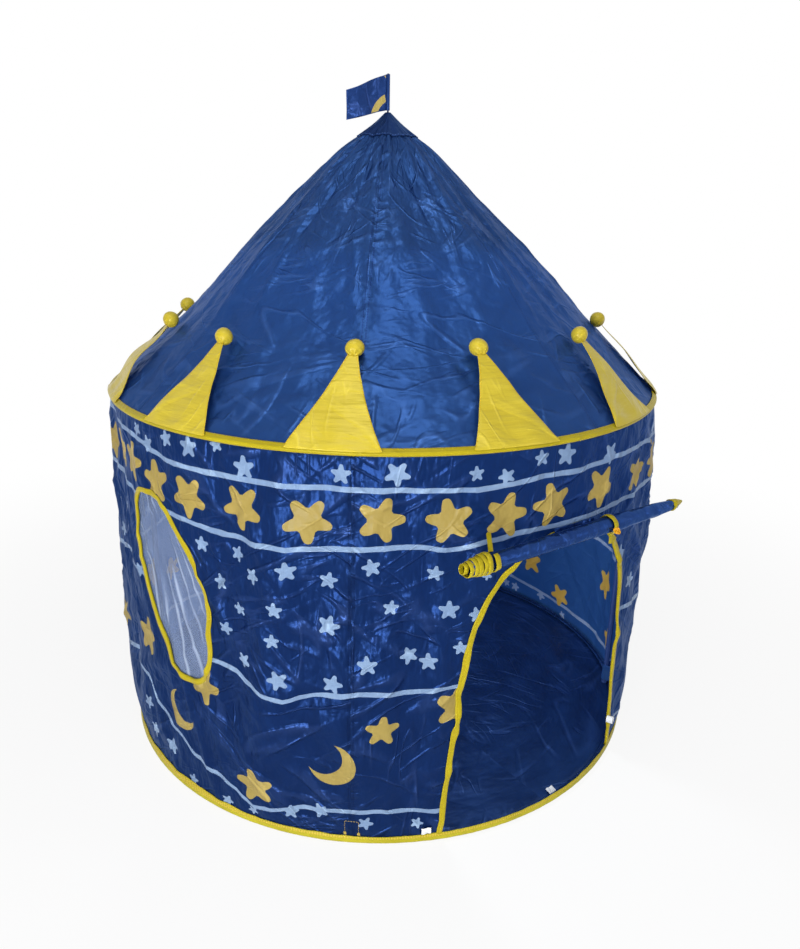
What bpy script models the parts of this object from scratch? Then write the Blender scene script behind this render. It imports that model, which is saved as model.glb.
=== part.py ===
"""A round play tent: printed wall, cone roof on a four-pole frame, two spring hoops in sewn bindings."""

import math

import bmesh
import bpy
from mathutils import Matrix, Vector

# Tent, over its bindings. Azimuths are in degrees from the front (-Y) towards +X.
TENT_RADIUS = 0.525
EAVE_HEIGHT = 0.6815
APEX_HEIGHT = 1.168
STATION = 5

# Gaps between pieces: rigid pieces, and cloth that lies on something
CLEARANCE = 0.0003
CLOTH_GAP = 0.0006
OVERRUN = 0.004

# Cloth, as thick as it is with its hems
WALL_CLOTH = 0.0014
ROOF_CLOTH = 0.0014
GROUND_CLOTH = 0.0012
GROUND_HEM = 0.002
GROUND_HEM_WIDTH = 0.036
GROUND_HEM_SLOPE = 0.001
NET_CLOTH = 0.0008
SATIN = 0.0016

# Spring hoops and the tapes folded round them
HOOP_WIRE = 0.0025
HOOP_SIDES = 6
TAPE = 0.0012
EAVE_LIP = 0.009
EAVE_TAPE_SIDES = 4
EAVE_SLIT_ANGLE = 45

# Poles and their sockets
POLES = (-40, 50, 140, 230)
TUBE_RADIUS = 0.006
TUBE_BORE = 0.0047
SPIGOT_BORE = 0.0034
SPIGOT_LENGTH = 0.03
TUBE_SIDES = 10
SOCKET_RADIUS = 0.008
SOCKET_REACH = 0.036
SOCKET_STOP = 0.011
SOCKET_WALL = 0.0016
SOCKET_TWIST = 11  # keeps the edges of neighbouring sockets from meeting
WELD = 0.00001
CORE_RINGS = 8
ELBOW_CORE = 0.008
HUB_CORE = 0.0098
FOOT_RADIUS = 0.0072
FOOT_HEIGHT = 0.009
LEG_JOINT_SHARE = 0.52
POCKET_WIDTH = 0.024
POCKET_HEIGHT = 0.036
POCKET_CLOTH = 0.001
POCKET_STEPS = 6

# Roof
GORE_ANGLE = 45
GORE_ROWS = 4
GORE_TOP_RADIUS = 0.016
ROOF_SAG = 0.009
CAP_RADIUS = 0.0505
CAP_STATION = 10

# Wall folds: azimuth at the top, lean towards the ground, half width, depth outwards
WALL_ROWS = 8
FOLD_FLATNESS = 4
FOLDS = (
    (-51, -6, 9, 0.020),
    (-30, 0, 5, -0.005),
    (36, 0, 9, -0.008),
    (68, 0, 12, 0.012),
    (92, 0, 12, -0.010),
    (116, 0, 12, 0.010),
    (160, 0, 13, -0.012),
    (185, 0, 13, 0.012),
    (208, 0, 12, -0.010),
    (247, 0, 12, 0.012),
    (261, 0, 6, -0.006),
)

# Doorway, an arch centred on the front
DOOR_BASE_HALF = 0.208
DOOR_SPRING_HALF = 0.180
DOOR_SPRING_HEIGHT = 0.330
DOOR_TOP = 0.535
DOOR_LEG_STEPS = 6
DOOR_ARCH_STEPS = 28

# Window, an oval that leans with the cloth
WINDOW_AZIMUTH = -77.8
WINDOW_HEIGHT = 0.400
WINDOW_HALF_WIDTH = 0.085
WINDOW_HALF_HEIGHT = 0.163
WINDOW_LEAN = 15
WINDOW_STEPS = 32
NET_RINGS = 3
NET_SAG = 0.006
NET_OVERLAP = 0.006

# Tape on the edges of the doorway and the window: lap over the cloth
EDGE_LAP = 0.009

# Crown points
CROWN_COUNT = 12
CROWN_FIRST_AZIMUTH = -73
CROWN_HALF_WIDTH = 0.073
CROWN_TIP_HALF = 0.006
CROWN_LENGTH = 0.171
CROWN_TAPER = 1.25
CROWN_COLUMN_COUNT = 4
CROWN_ROW_COUNT = 4
BALL_RADIUS = 0.0145
BALL_SIDES = 8
BALL_RINGS = 6

# Rolled door flap
ROLL_HALF_LENGTH_LEFT = 0.200
ROLL_HALF_LENGTH_RIGHT = 0.236
ROLL_DROP = 0.004
ROLL_RADIUS = 0.014
ROLL_CORE = 0.0036
ROLL_CLOTH = 0.0013
ROLL_TURNS = 4
ROLL_TURN_STEPS = 10
ROLL_GIRTH_SHARES = ((-1.0, 0.93), (-0.4, 0.98), (0.0, 1.0), (0.35, 1.05), (0.7, 0.88), (1.0, 0.60))
ROLL_TIP = 0.020
ROLL_TIP_END = 0.0012
NECK_HALF_WIDTH = 0.045
NECK_HEIGHT = 0.0125
EDGE_TAPE_WIDTH = 0.0066
EDGE_TAPE = 0.001
EDGE_TURNS = 6
EDGE_TURN_STEPS = 12
EDGE_LENGTH = 0.042
EDGE_START_RADIUS = 0.0168
EDGE_END_RADIUS = 0.0075
EDGE_CORE_SHARE = 0.75

# Ties round the roll
TIE_WIDTH = 0.009
TIE_TAPE = 0.001
TIE_STEPS = 12
LEFT_TIE_X = -0.190
MIDDLE_TIE_X = 0.060
TIE_GAP_ANGLE = 40
TIE_END_LENGTH = 0.014

# Flag and its stem
FLAG_AZIMUTH = -135
FLAG_LENGTH = 0.074
FLAG_FLY = 0.050
FLAG_DROOP = 0.016
FLAG_CLOTH = 0.0012
FLAG_HOIST = 0.0592
FLAG_COLUMN_COUNT = 6
FLAG_ROW_COUNT = 2
FLAG_WAVE = 0.004
STEM_RADIUS = 0.0018
STEM_SEAT = 0.007
SLEEVE_WALL = 0.0009

SHARP_ANGLE = 35

# Worked out from the sizes above
BORE_RADIUS = HOOP_WIRE + CLEARANCE
BINDING_RADIUS = BORE_RADIUS + TAPE
HEX_STEP = math.radians(60)
HOOP_RADIUS = TENT_RADIUS - BINDING_RADIUS / math.cos(HEX_STEP / 2)
SLOPE = math.atan((APEX_HEIGHT - EAVE_HEIGHT) / HOOP_RADIUS)
BASE_TOP = 2 * BINDING_RADIUS
WALL_BOTTOM = BASE_TOP + CLOTH_GAP
POLE_DEPTH = ROOF_CLOTH / 2 + CLOTH_GAP + SOCKET_RADIUS
EDGE_GAP = WALL_CLOTH / 2 + CLOTH_GAP
EDGE_OUT = EDGE_GAP + TAPE
EAVE_SLIT = ROOF_CLOTH / 2 + CLOTH_GAP
LEG_RADIUS = (
    HOOP_RADIUS
    - EAVE_LIP * math.cos(SLOPE)
    - (EAVE_SLIT + TAPE) * math.sin(SLOPE)
    - CLEARANCE
    - SOCKET_RADIUS
)
ELBOW_HEIGHT = (
    EAVE_HEIGHT + (HOOP_RADIUS - LEG_RADIUS) * math.tan(SLOPE) - POLE_DEPTH / math.cos(SLOPE)
)
HUB_HEIGHT = APEX_HEIGHT - POLE_DEPTH / math.cos(SLOPE)
CAP_HOLE_RADIUS = STEM_RADIUS + 2 * CLEARANCE
ROLL_HEIGHT = DOOR_TOP - ROLL_DROP


def at(azimuth, radius, height):
    """Point at an azimuth in degrees, a distance from the tent's axis and a height."""
    turn = math.radians(azimuth)
    return Vector((radius * math.sin(turn), -radius * math.cos(turn), height))


def on_roof(along, above):
    """Radius and height of a point along the roof's slope from the eave hoop, and square to it."""
    radius = HOOP_RADIUS - along * math.cos(SLOPE) + above * math.sin(SLOPE)
    height = EAVE_HEIGHT + along * math.sin(SLOPE) + above * math.cos(SLOPE)
    return radius, height


def roof_height(radius, above):
    """Height at a radius of a layer that lies above the roof's middle."""
    return EAVE_HEIGHT + (HOOP_RADIUS - radius) * math.tan(SLOPE) + above / math.cos(SLOPE)


def mix(start, end, share):
    return start + (end - start) * share


def material(name, color, roughness, metallic=0.0):
    made = bpy.data.materials.new(name)
    made.use_nodes = True
    shader = made.node_tree.nodes["Principled BSDF"]
    shader.inputs["Base Color"].default_value = (*color, 1.0)
    shader.inputs["Roughness"].default_value = roughness
    shader.inputs["Metallic"].default_value = metallic
    made.diffuse_color = (*color, 1.0)
    return made


def add_mesh(name, mesh, look, location=(0, 0, 0), azimuth=0, parent=None):
    """Object of a mesh, turned about its own vertical by an azimuth."""
    obj = bpy.data.objects.new(name, mesh)
    bpy.context.scene.collection.objects.link(obj)
    obj.location = location
    obj.rotation_euler[2] = math.radians(azimuth)
    if not mesh.materials:
        mesh.materials.append(look)
    if parent:
        obj.parent = parent
        obj.location = Vector(location) - parent.location
    return obj


def finished(bm, name):
    """Mesh of a bmesh, with its faces pointing out and its round faces smooth."""
    bmesh.ops.recalc_face_normals(bm, faces=bm.faces)
    mesh = bpy.data.meshes.new(name)
    bm.to_mesh(mesh)
    bm.free()
    mesh.shade_smooth()
    mesh.set_sharp_from_angle(angle=math.radians(SHARP_ANGLE))
    return mesh


def loft(name, rings, closed_path=False):
    """Mesh skinned over rings that have as many points each, capped where the path has ends."""
    bm = bmesh.new()
    loops = [[bm.verts.new(point) for point in ring] for ring in rings]
    pairs = list(zip(loops, loops[1:]))
    if closed_path:
        pairs.append((loops[-1], loops[0]))
    for first, second in pairs:
        for i in range(len(first)):
            j = (i + 1) % len(first)
            bm.faces.new((first[i], first[j], second[j], second[i]))
    if not closed_path:
        bm.faces.new(loops[0])
        bm.faces.new(loops[-1])
    return finished(bm, name)


def turned(name, profile, sides, placed=None):
    """Mesh of a closed outline of radius and height points, spun about the vertical."""
    bm = bmesh.new()
    corners = [bm.verts.new((radius, 0, height)) for radius, height in profile]
    edges = [bm.edges.new((corners[i - 1], corners[i])) for i in range(len(corners))]
    bmesh.ops.spin(
        bm,
        geom=corners + edges,
        axis=(0, 0, 1),
        cent=(0, 0, 0),
        angle=math.tau,
        steps=sides,
        use_merge=True,
    )
    if placed:
        bmesh.ops.transform(bm, matrix=placed, verts=bm.verts)
    return finished(bm, name)


def sheet(name, columns, rows, place, thickness, look):
    """Cloth whose middle follows a function of two shares, with its thickness on both sides."""
    bm = bmesh.new()
    grid = [
        [bm.verts.new(place(i / columns, j / rows)) for i in range(columns + 1)]
        for j in range(rows + 1)
    ]
    for lower, upper in zip(grid, grid[1:]):
        for i in range(columns):
            bm.faces.new((lower[i], lower[i + 1], upper[i + 1], upper[i]))
    obj = add_mesh(name, finished(bm, name), look)
    thicken(obj, thickness)
    return obj


def thicken(obj, thickness):
    solidify = obj.modifiers.new("cloth thickness", "SOLIDIFY")
    solidify.thickness = thickness
    solidify.offset = 0


def boolean(obj, tool, operation):
    """Cuts or joins with a helper object, which stays out of the render."""
    tool.hide_render = True
    tool.display_type = "WIRE"
    modifier = obj.modifiers.new(operation.lower(), "BOOLEAN")
    modifier.operation = operation
    modifier.solver = "EXACT"
    modifier.object = tool


def baked(obj, helpers):
    """The object's evaluated mesh, with the object and its helpers removed."""
    bpy.context.view_layer.update()
    graph = bpy.context.evaluated_depsgraph_get()
    mesh = bpy.data.meshes.new_from_object(obj.evaluated_get(graph))
    mesh.name = obj.name
    bm = bmesh.new()
    bm.from_mesh(mesh)
    bmesh.ops.remove_doubles(bm, verts=bm.verts, dist=WELD)
    bmesh.ops.dissolve_degenerate(bm, edges=bm.edges, dist=WELD)
    bm.to_mesh(mesh)
    bm.free()
    for used in (obj, *helpers):
        bpy.data.objects.remove(used, do_unlink=True)
    mesh.shade_smooth()
    mesh.set_sharp_from_angle(angle=math.radians(SHARP_ANGLE))
    return mesh


def rod_matrix(start, direction):
    """Matrix that stands the vertical axis along a direction from a start."""
    turn = Vector(direction).to_track_quat("Z", "Y")
    return Matrix.Translation(start) @ turn.to_matrix().to_4x4()


def rod(name, start, direction, length, radius, sides=TUBE_SIDES, twist=0):
    """Round bar along a direction, with its flat sides turned by a twist in degrees."""
    placed = rod_matrix(start, direction) @ Matrix.Rotation(math.radians(twist), 4, "Z")
    bm = bmesh.new()
    bmesh.ops.create_cone(
        bm,
        cap_ends=True,
        segments=sides,
        radius1=radius,
        radius2=radius,
        depth=length,
        matrix=placed @ Matrix.Translation((0, 0, length / 2)),
    )
    return finished(bm, name)


def eave_section():
    """Outline of the eave tape along the roof and above it: round the hoop, with two lips on the roof's hem."""
    step = math.radians(360 - 2 * EAVE_SLIT_ANGLE) / EAVE_TAPE_SIDES
    inner = BORE_RADIUS / math.cos(step / 2)
    outer = BINDING_RADIUS / math.cos(step / 2)
    turns = [math.radians(EAVE_SLIT_ANGLE) + step * i for i in range(EAVE_TAPE_SIDES + 1)]
    lip = EAVE_SLIT + TAPE
    outline = [(EAVE_LIP, lip)]
    outline += [(outer * math.cos(turn), outer * math.sin(turn)) for turn in turns]
    outline += [(EAVE_LIP, -lip), (EAVE_LIP, -EAVE_SLIT)]
    outline += [(inner * math.cos(turn), inner * math.sin(turn)) for turn in reversed(turns)]
    return outline + [(EAVE_LIP, EAVE_SLIT)]


def eave_profile():
    return [on_roof(along, above) for along, above in eave_section()]


def base_profile():
    """Outline of the base tape: round the hoop, open low inside, with a lip over the ground sheet."""
    outer = BINDING_RADIUS / math.cos(HEX_STEP / 2)
    inner = BORE_RADIUS / math.cos(HEX_STEP / 2)
    under = GROUND_HEM + CLOTH_GAP

    def corner(size, steps):
        turn = HEX_STEP * steps
        return HOOP_RADIUS - size * math.cos(turn), BINDING_RADIUS + size * math.sin(turn)

    lip_end = LEG_RADIUS + FOOT_RADIUS + CLEARANCE
    bore_side, bore_foot = corner(inner, 0), corner(inner, 5)
    share = (under - bore_foot[1]) / (bore_side[1] - bore_foot[1])
    lip_start = mix(bore_foot[0], bore_side[0], share)
    outline = [(lip_end, under), (lip_end, under + TAPE)]
    outline += [corner(outer, steps) for steps in range(6)]
    outline += [corner(inner, steps) for steps in range(5, -1, -1)]
    return outline + [(lip_start, under)]


def wall_top():
    return min(height for _, height in eave_profile()) - CLOTH_GAP


WALL_TOP = wall_top()


def folded_radius(azimuth, height):
    """Radius of the middle of the wall cloth with its folds, which die out at both hems."""
    share = (height - WALL_BOTTOM) / (WALL_TOP - WALL_BOTTOM)
    fade = 1 - abs(2 * share - 1) ** FOLD_FLATNESS
    radius = HOOP_RADIUS
    for centre, lean, half_width, depth in FOLDS:
        away = (azimuth - centre - lean * (1 - share) + 180) % 360 - 180
        if abs(away) < half_width:
            radius += depth * fade * (1 + math.cos(math.pi * away / half_width)) / 2
    return radius


def wall_radius(azimuth, height):
    """Radius of the wall's middle as its flat facets run between stations and rows."""
    first = math.floor(azimuth / STATION) * STATION
    row_height = (WALL_TOP - WALL_BOTTOM) / WALL_ROWS
    row = min(max(math.floor((height - WALL_BOTTOM) / row_height), 0), WALL_ROWS - 1)
    low = WALL_BOTTOM + row * row_height
    share = (height - low) / row_height
    left, right = (
        mix(folded_radius(turn, low), folded_radius(turn, low + row_height), share)
        for turn in (first, first + STATION)
    )
    here = math.radians(azimuth - first)
    rest = math.radians(STATION) - here
    return left * right * math.sin(here + rest) / (left * math.sin(here) + right * math.sin(rest))


def on_wall(facing, aside, height, out=0.0):
    """Point on the wall, a distance aside of an azimuth that it is looked at from, and out from its middle."""
    radius = HOOP_RADIUS
    for _ in range(4):
        azimuth = facing + math.degrees(math.asin(aside / radius))
        radius = wall_radius(azimuth, height) + out
    return at(azimuth, radius, height)


def door_outline():
    """Stations up one side of the doorway, over the arch and down: place, and direction into the cloth."""
    stations = []
    rise = DOOR_SPRING_HEIGHT - WALL_BOTTOM
    lean = Vector((rise, DOOR_BASE_HALF - DOOR_SPRING_HALF)).normalized()
    for i in range(DOOR_LEG_STEPS):
        share = i / DOOR_LEG_STEPS
        half = mix(DOOR_BASE_HALF, DOOR_SPRING_HALF, share)
        stations.append(((-half, WALL_BOTTOM + rise * share), (-lean[0], lean[1])))
    crown = DOOR_TOP - DOOR_SPRING_HEIGHT
    for i in range(DOOR_ARCH_STEPS + 1):
        turn = math.pi * (1 - i / DOOR_ARCH_STEPS)
        across, up = math.cos(turn), math.sin(turn)
        into = Vector((crown * across, DOOR_SPRING_HALF * up)).normalized()
        place = (DOOR_SPRING_HALF * across, DOOR_SPRING_HEIGHT + crown * up)
        stations.append((place, (into[0], into[1])))
    left = stations[:DOOR_LEG_STEPS]
    stations += [((-x, z), (-into_x, into_z)) for (x, z), (into_x, into_z) in reversed(left)]
    return stations


def window_outline(grow=0.0):
    """Stations round the window: place aside and height, and direction into the cloth."""
    stations = []
    lean = math.radians(WINDOW_LEAN)
    width, height = WINDOW_HALF_WIDTH + grow, WINDOW_HALF_HEIGHT + grow
    for i in range(WINDOW_STEPS):
        turn = math.tau * i / WINDOW_STEPS
        across, up = width * math.cos(turn), height * math.sin(turn)
        into = Vector((height * math.cos(turn), width * math.sin(turn))).normalized()
        leaned = [
            (x * math.cos(lean) - z * math.sin(lean), x * math.sin(lean) + z * math.cos(lean))
            for x, z in ((across, up), (into[0], into[1]))
        ]
        stations.append(((leaned[0][0], WINDOW_HEIGHT + leaned[0][1]), leaned[1]))
    return stations


def make_hoops(steel):
    for name, height in (("base_hoop", BINDING_RADIUS), ("eave_hoop", EAVE_HEIGHT)):
        wire = [
            (
                HOOP_RADIUS + HOOP_WIRE * math.cos(math.tau * i / HOOP_SIDES),
                height + HOOP_WIRE * math.sin(math.tau * i / HOOP_SIDES),
            )
            for i in range(HOOP_SIDES)
        ]
        add_mesh(name, turned(name, wire, round(360 / STATION)), steel)


def make_bindings(tape):
    for name, outline in (("base_binding", base_profile()), ("eave_binding", eave_profile())):
        add_mesh(name, turned(name, outline, round(360 / STATION)), tape)


def make_ground_sheet(cloth):
    """Floor of the tent, with a double hem that the feet stand on and the base tape's lip laps over."""
    edge = HOOP_RADIUS - BINDING_RADIUS / math.cos(HEX_STEP / 2) / 2 - CLEARANCE
    inside = edge - GROUND_HEM_WIDTH
    outline = (
        (edge, 0),
        (edge, GROUND_HEM),
        (inside + GROUND_HEM_SLOPE, GROUND_HEM),
        (inside, GROUND_CLOTH),
    )
    rings = [
        [at(azimuth, radius, height) for azimuth in range(0, 360, STATION)]
        for radius, height in outline
    ]
    add_mesh("ground_sheet", loft("ground_sheet", rings), cloth)


def make_walls(cloth):
    """Four panels, sewn at the legs, the front one with the doorway and the left one with the window."""
    gap = math.degrees(CLEARANCE / HOOP_RADIUS)
    panels = {}
    for name, start in zip(("wall_front", "wall_right", "wall_back", "wall_left"), POLES):

        def place(across, up, start=start):
            azimuth = start + 90 * across
            height = mix(WALL_BOTTOM, WALL_TOP, up)
            seam = gap / 2 * (1 - 2 * across) if across in (0, 1) else 0
            return at(azimuth + seam, folded_radius(azimuth, height), height)

        panels[name] = sheet(name, round(90 / STATION), WALL_ROWS, place, WALL_CLOTH, cloth)
    boolean(panels["wall_front"], opening_cutter("door_cutter", door_outline(), 0, True), "DIFFERENCE")
    cutter = opening_cutter("window_cutter", window_outline(), WINDOW_AZIMUTH, False)
    boolean(panels["wall_left"], cutter, "DIFFERENCE")


def opening_cutter(name, stations, facing, reaches_ground):
    """Prism of an opening's outline, square to the wall where it faces."""
    outline = [place for place, _ in stations]
    if reaches_ground:
        below = WALL_BOTTOM - OVERRUN
        outline = [(outline[0][0], below)] + outline + [(outline[-1][0], below)]
    depths = (HOOP_RADIUS * math.cos(math.radians(GORE_ANGLE)), TENT_RADIUS + BALL_RADIUS)
    rings = [
        [Matrix.Rotation(math.radians(facing), 3, "Z") @ Vector((x, -depth, z)) for x, z in outline]
        for depth in depths
    ]
    return add_mesh(name, loft(name, rings), None)


def edge_tape(name, stations, facing, look, closed_path):
    """Tape folded over the edge of an opening, with a lip on each side of the cloth."""
    back = -CLOTH_GAP - TAPE
    section = (
        (back, EDGE_OUT),
        (EDGE_LAP, EDGE_OUT),
        (EDGE_LAP, EDGE_GAP),
        (-CLOTH_GAP, EDGE_GAP),
        (-CLOTH_GAP, -EDGE_GAP),
        (EDGE_LAP, -EDGE_GAP),
        (EDGE_LAP, -EDGE_OUT),
        (back, -EDGE_OUT),
    )
    rings = [
        [on_wall(facing, x + into[0] * lap, z + into[1] * lap, out) for lap, out in section]
        for (x, z), into in stations
    ]
    return add_mesh(name, loft(name, rings, closed_path), look)


def make_window_net(net):
    """Net behind the window's tape, sagging a little inwards."""
    behind = -EDGE_OUT - CLOTH_GAP - NET_CLOTH / 2
    edge = [place for place, _ in window_outline(NET_OVERLAP)]
    bm = bmesh.new()
    centre = bm.verts.new(on_wall(WINDOW_AZIMUTH, 0, WINDOW_HEIGHT, behind - NET_SAG))
    inner = None
    for ring in range(1, NET_RINGS + 1):
        share = ring / NET_RINGS
        sag = NET_SAG * (1 - share**2)
        outer = [
            bm.verts.new(
                on_wall(WINDOW_AZIMUTH, x * share, mix(WINDOW_HEIGHT, z, share), behind - sag)
            )
            for x, z in edge
        ]
        for i in range(len(outer)):
            j = (i + 1) % len(outer)
            if inner:
                bm.faces.new((inner[i], inner[j], outer[j], outer[i]))
            else:
                bm.faces.new((centre, outer[j], outer[i]))
        inner = outer
    obj = add_mesh("window_net", finished(bm, "window_net"), net)
    thicken(obj, NET_CLOTH)


def make_roof(cloth):
    """Eight gores, ridged at their seams and a little hollow between, and the second layer at the apex."""
    start = HOOP_WIRE + 2 * CLEARANCE
    end = (HOOP_RADIUS - GORE_TOP_RADIUS) / math.cos(SLOPE)
    for number in range(round(360 / GORE_ANGLE)):
        middle = POLES[0] + GORE_ANGLE * (number + 1 / 2)

        def place(across, up, middle=middle):
            radius, height = on_roof(mix(start, end, up), 0)
            hollow = ROOF_SAG * math.sin(math.pi * across) ** 2 * math.sin(math.pi * up) ** 2
            half = GORE_ANGLE / 2 - math.degrees(CLEARANCE / radius)
            hollow_radius = radius - hollow * math.sin(SLOPE)
            return at(middle + half * (2 * across - 1), hollow_radius, height - hollow * math.cos(SLOPE))

        columns = round(GORE_ANGLE / STATION)
        sheet(f"roof_gore_{number + 1}", columns, GORE_ROWS, place, ROOF_CLOTH, cloth)
    under = ROOF_CLOTH / 2 + CLOTH_GAP
    outline = [
        (radius, roof_height(radius, above))
        for radius, above in (
            (CAP_RADIUS, under),
            (CAP_HOLE_RADIUS, under),
            (CAP_HOLE_RADIUS, under + ROOF_CLOTH),
            (CAP_RADIUS, under + ROOF_CLOTH),
        )
    ]
    add_mesh("apex_cap", turned("apex_cap", outline, round(360 / CAP_STATION)), cloth)


def make_crown_points(satin):
    """Satin points hinged on the eave tape, each leaning on the roof by the stuffed ball at its tip."""
    foot_along, tape_top = max(eave_section(), key=lambda corner: corner[1])
    foot_above = tape_top + CLOTH_GAP + SATIN / 2
    ball_above = ROOF_CLOTH / 2 + CLOTH_GAP + BALL_RADIUS
    rise = SLOPE + math.asin((ball_above - foot_above) / CROWN_LENGTH)
    hinge_radius, hinge_height = on_roof(foot_along, foot_above)
    hinge = at(0, hinge_radius, hinge_height)

    def place(across, up):
        along = CROWN_LENGTH * up
        radius = hinge_radius - along * math.cos(rise)
        half = mix(CROWN_TIP_HALF, CROWN_HALF_WIDTH, (1 - up) ** CROWN_TAPER)
        turn = math.degrees(half * (2 * across - 1) / radius)
        return at(turn, radius, hinge_height + along * math.sin(rise)) - hinge

    panel = sheet("crown_point", CROWN_COLUMN_COUNT, CROWN_ROW_COUNT, place, SATIN, satin)
    bm = bmesh.new()
    ball_place = at(0, hinge_radius - CROWN_LENGTH * math.cos(rise), hinge_height) - hinge
    ball_place[2] += CROWN_LENGTH * math.sin(rise)
    bmesh.ops.create_uvsphere(
        bm,
        u_segments=BALL_SIDES,
        v_segments=BALL_RINGS,
        radius=BALL_RADIUS,
        matrix=Matrix.Translation(ball_place),
    )
    ball = add_mesh("crown_ball", finished(bm, "crown_ball"), satin)
    boolean(panel, ball, "UNION")
    mesh = baked(panel, [ball])
    for number in range(CROWN_COUNT):
        azimuth = CROWN_FIRST_AZIMUTH + number * 360 / CROWN_COUNT
        place_at = at(azimuth, hinge_radius, hinge_height)
        add_mesh(f"crown_point_{number + 1}", mesh, satin, place_at, azimuth)


def bore_for(radius):
    """Radius to the corners of a bore whose flat sides clear a pin."""
    return (radius + CLEARANCE) / math.cos(math.pi / TUBE_SIDES)


def socket_stop(directions):
    """Distance from a fitting's middle at which its bores end, with a wall left between neighbours."""
    apart = min(one.angle(other) for one in directions for other in directions if one != other)
    side = bore_for(TUBE_RADIUS) * math.cos(apart / 2) + SOCKET_WALL / 2
    return max(SOCKET_STOP, side / math.sin(apart / 2))


def socket_body(name, directions, core, plastic):
    """Moulded fitting about the origin: a round core with a bored socket along each direction."""
    stop = socket_stop(directions)
    bm = bmesh.new()
    bmesh.ops.create_uvsphere(bm, u_segments=TUBE_SIDES, v_segments=CORE_RINGS, radius=core)
    body = add_mesh(name, finished(bm, name), plastic)
    helpers = []
    for direction in directions:
        mesh = rod(name, (0, 0, 0), direction, SOCKET_REACH, SOCKET_RADIUS, twist=SOCKET_TWIST)
        helpers.append(add_mesh("socket", mesh, plastic))
        boolean(body, helpers[-1], "UNION")
    for direction in directions:
        length = SOCKET_REACH - stop + OVERRUN
        mesh = rod(name, direction * stop, direction, length, bore_for(TUBE_RADIUS), twist=SOCKET_TWIST)
        helpers.append(add_mesh("bore", mesh, plastic))
        boolean(body, helpers[-1], "DIFFERENCE")
    return body, helpers


def tube(name, length, look, start, direction, spigot=False, foot=False):
    """Pole section along its own vertical: plain, with a spigot below, or with a moulded foot."""
    if spigot:
        neck = TUBE_BORE - CLEARANCE
        outline = [
            (SPIGOT_BORE, -SPIGOT_LENGTH),
            (neck, -SPIGOT_LENGTH),
            (neck, 0),
            (TUBE_RADIUS, 0),
            (TUBE_RADIUS, length),
            (SPIGOT_BORE, length),
        ]
    elif foot:
        outline = [
            (TUBE_BORE, 0),
            (FOOT_RADIUS, 0),
            (FOOT_RADIUS, FOOT_HEIGHT),
            (TUBE_RADIUS, FOOT_HEIGHT),
            (TUBE_RADIUS, length),
            (TUBE_BORE, length),
        ]
    else:
        outline = [(TUBE_BORE, 0), (TUBE_RADIUS, 0), (TUBE_RADIUS, length), (TUBE_BORE, length)]
    add_mesh(name, turned(name, outline, TUBE_SIDES, rod_matrix(start, direction)), look)


def make_frame(plastic, pole):
    """Legs in two sections, elbows at the eave, roof poles, and the hub that they meet in."""
    bent = [Vector((0, 0, -1)), Vector((0, math.cos(SLOPE), math.sin(SLOPE)))]
    downhill = [at(azimuth, math.cos(SLOPE), -math.sin(SLOPE)) for azimuth in POLES]
    elbow, helpers = socket_body("eave_elbow", bent, ELBOW_CORE, plastic)
    elbow_mesh = baked(elbow, helpers)
    foot_at = GROUND_HEM + CLEARANCE
    leg_top = ELBOW_HEIGHT - socket_stop(bent) - CLEARANCE
    joint = mix(foot_at, leg_top, LEG_JOINT_SHARE)
    roof_start = socket_stop(bent) + CLEARANCE
    roof_end = LEG_RADIUS / math.cos(SLOPE) - socket_stop(downhill) - CLEARANCE
    for number, azimuth in enumerate(POLES, 1):
        add_mesh(f"eave_elbow_{number}", elbow_mesh, plastic, at(azimuth, LEG_RADIUS, ELBOW_HEIGHT), azimuth)
        up = (0, 0, 1)
        lower = at(azimuth, LEG_RADIUS, foot_at)
        tube(f"leg_lower_{number}", joint - foot_at, pole, lower, up, foot=True)
        upper = at(azimuth, LEG_RADIUS, joint + CLEARANCE)
        tube(f"leg_upper_{number}", leg_top - joint - CLEARANCE, pole, upper, up, spigot=True)
        inward = at(azimuth, -math.cos(SLOPE), math.sin(SLOPE))
        start = at(azimuth, LEG_RADIUS, ELBOW_HEIGHT) + inward * roof_start
        tube(f"roof_pole_{number}", roof_end - roof_start, pole, start, inward)
    hub, helpers = socket_body("apex_hub", downhill, HUB_CORE, plastic)
    seat = Vector((0, 0, HUB_CORE - STEM_SEAT))
    mesh = rod("stem_bore", seat, (0, 0, 1), STEM_SEAT + OVERRUN, bore_for(STEM_RADIUS))
    helpers.append(add_mesh("stem_bore", mesh, plastic))
    boolean(hub, helpers[-1], "DIFFERENCE")
    add_mesh("apex_hub", baked(hub, helpers), plastic, (0, 0, HUB_HEIGHT))
    start = (0, 0, HUB_HEIGHT + HUB_CORE - STEM_SEAT + CLEARANCE)
    end = flag_bottom() + FLAG_HOIST + STEM_RADIUS
    stem = rod("flag_stem", start, (0, 0, 1), end - start[2], STEM_RADIUS)
    add_mesh("flag_stem", stem, plastic)


def ribbon(name, path, thickness, width, to_place, closed_path=False):
    """Band along a flat path, with its thickness in the path's plane and its width square to it."""
    rings = []
    for i, point in enumerate(path):
        before = path[i - 1] if i or closed_path else point
        after = path[(i + 1) % len(path)] if i + 1 < len(path) or closed_path else point
        run = (Vector(after) - Vector(before)).normalized()
        side = Vector((-run[1], run[0])) * thickness / 2
        here = Vector(point)
        corners = ((here - side, 0), (here + side, 0), (here + side, width), (here - side, width))
        rings.append([to_place(flat[0], flat[1], across) for flat, across in corners])
    return loft(name, rings, closed_path)


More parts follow.
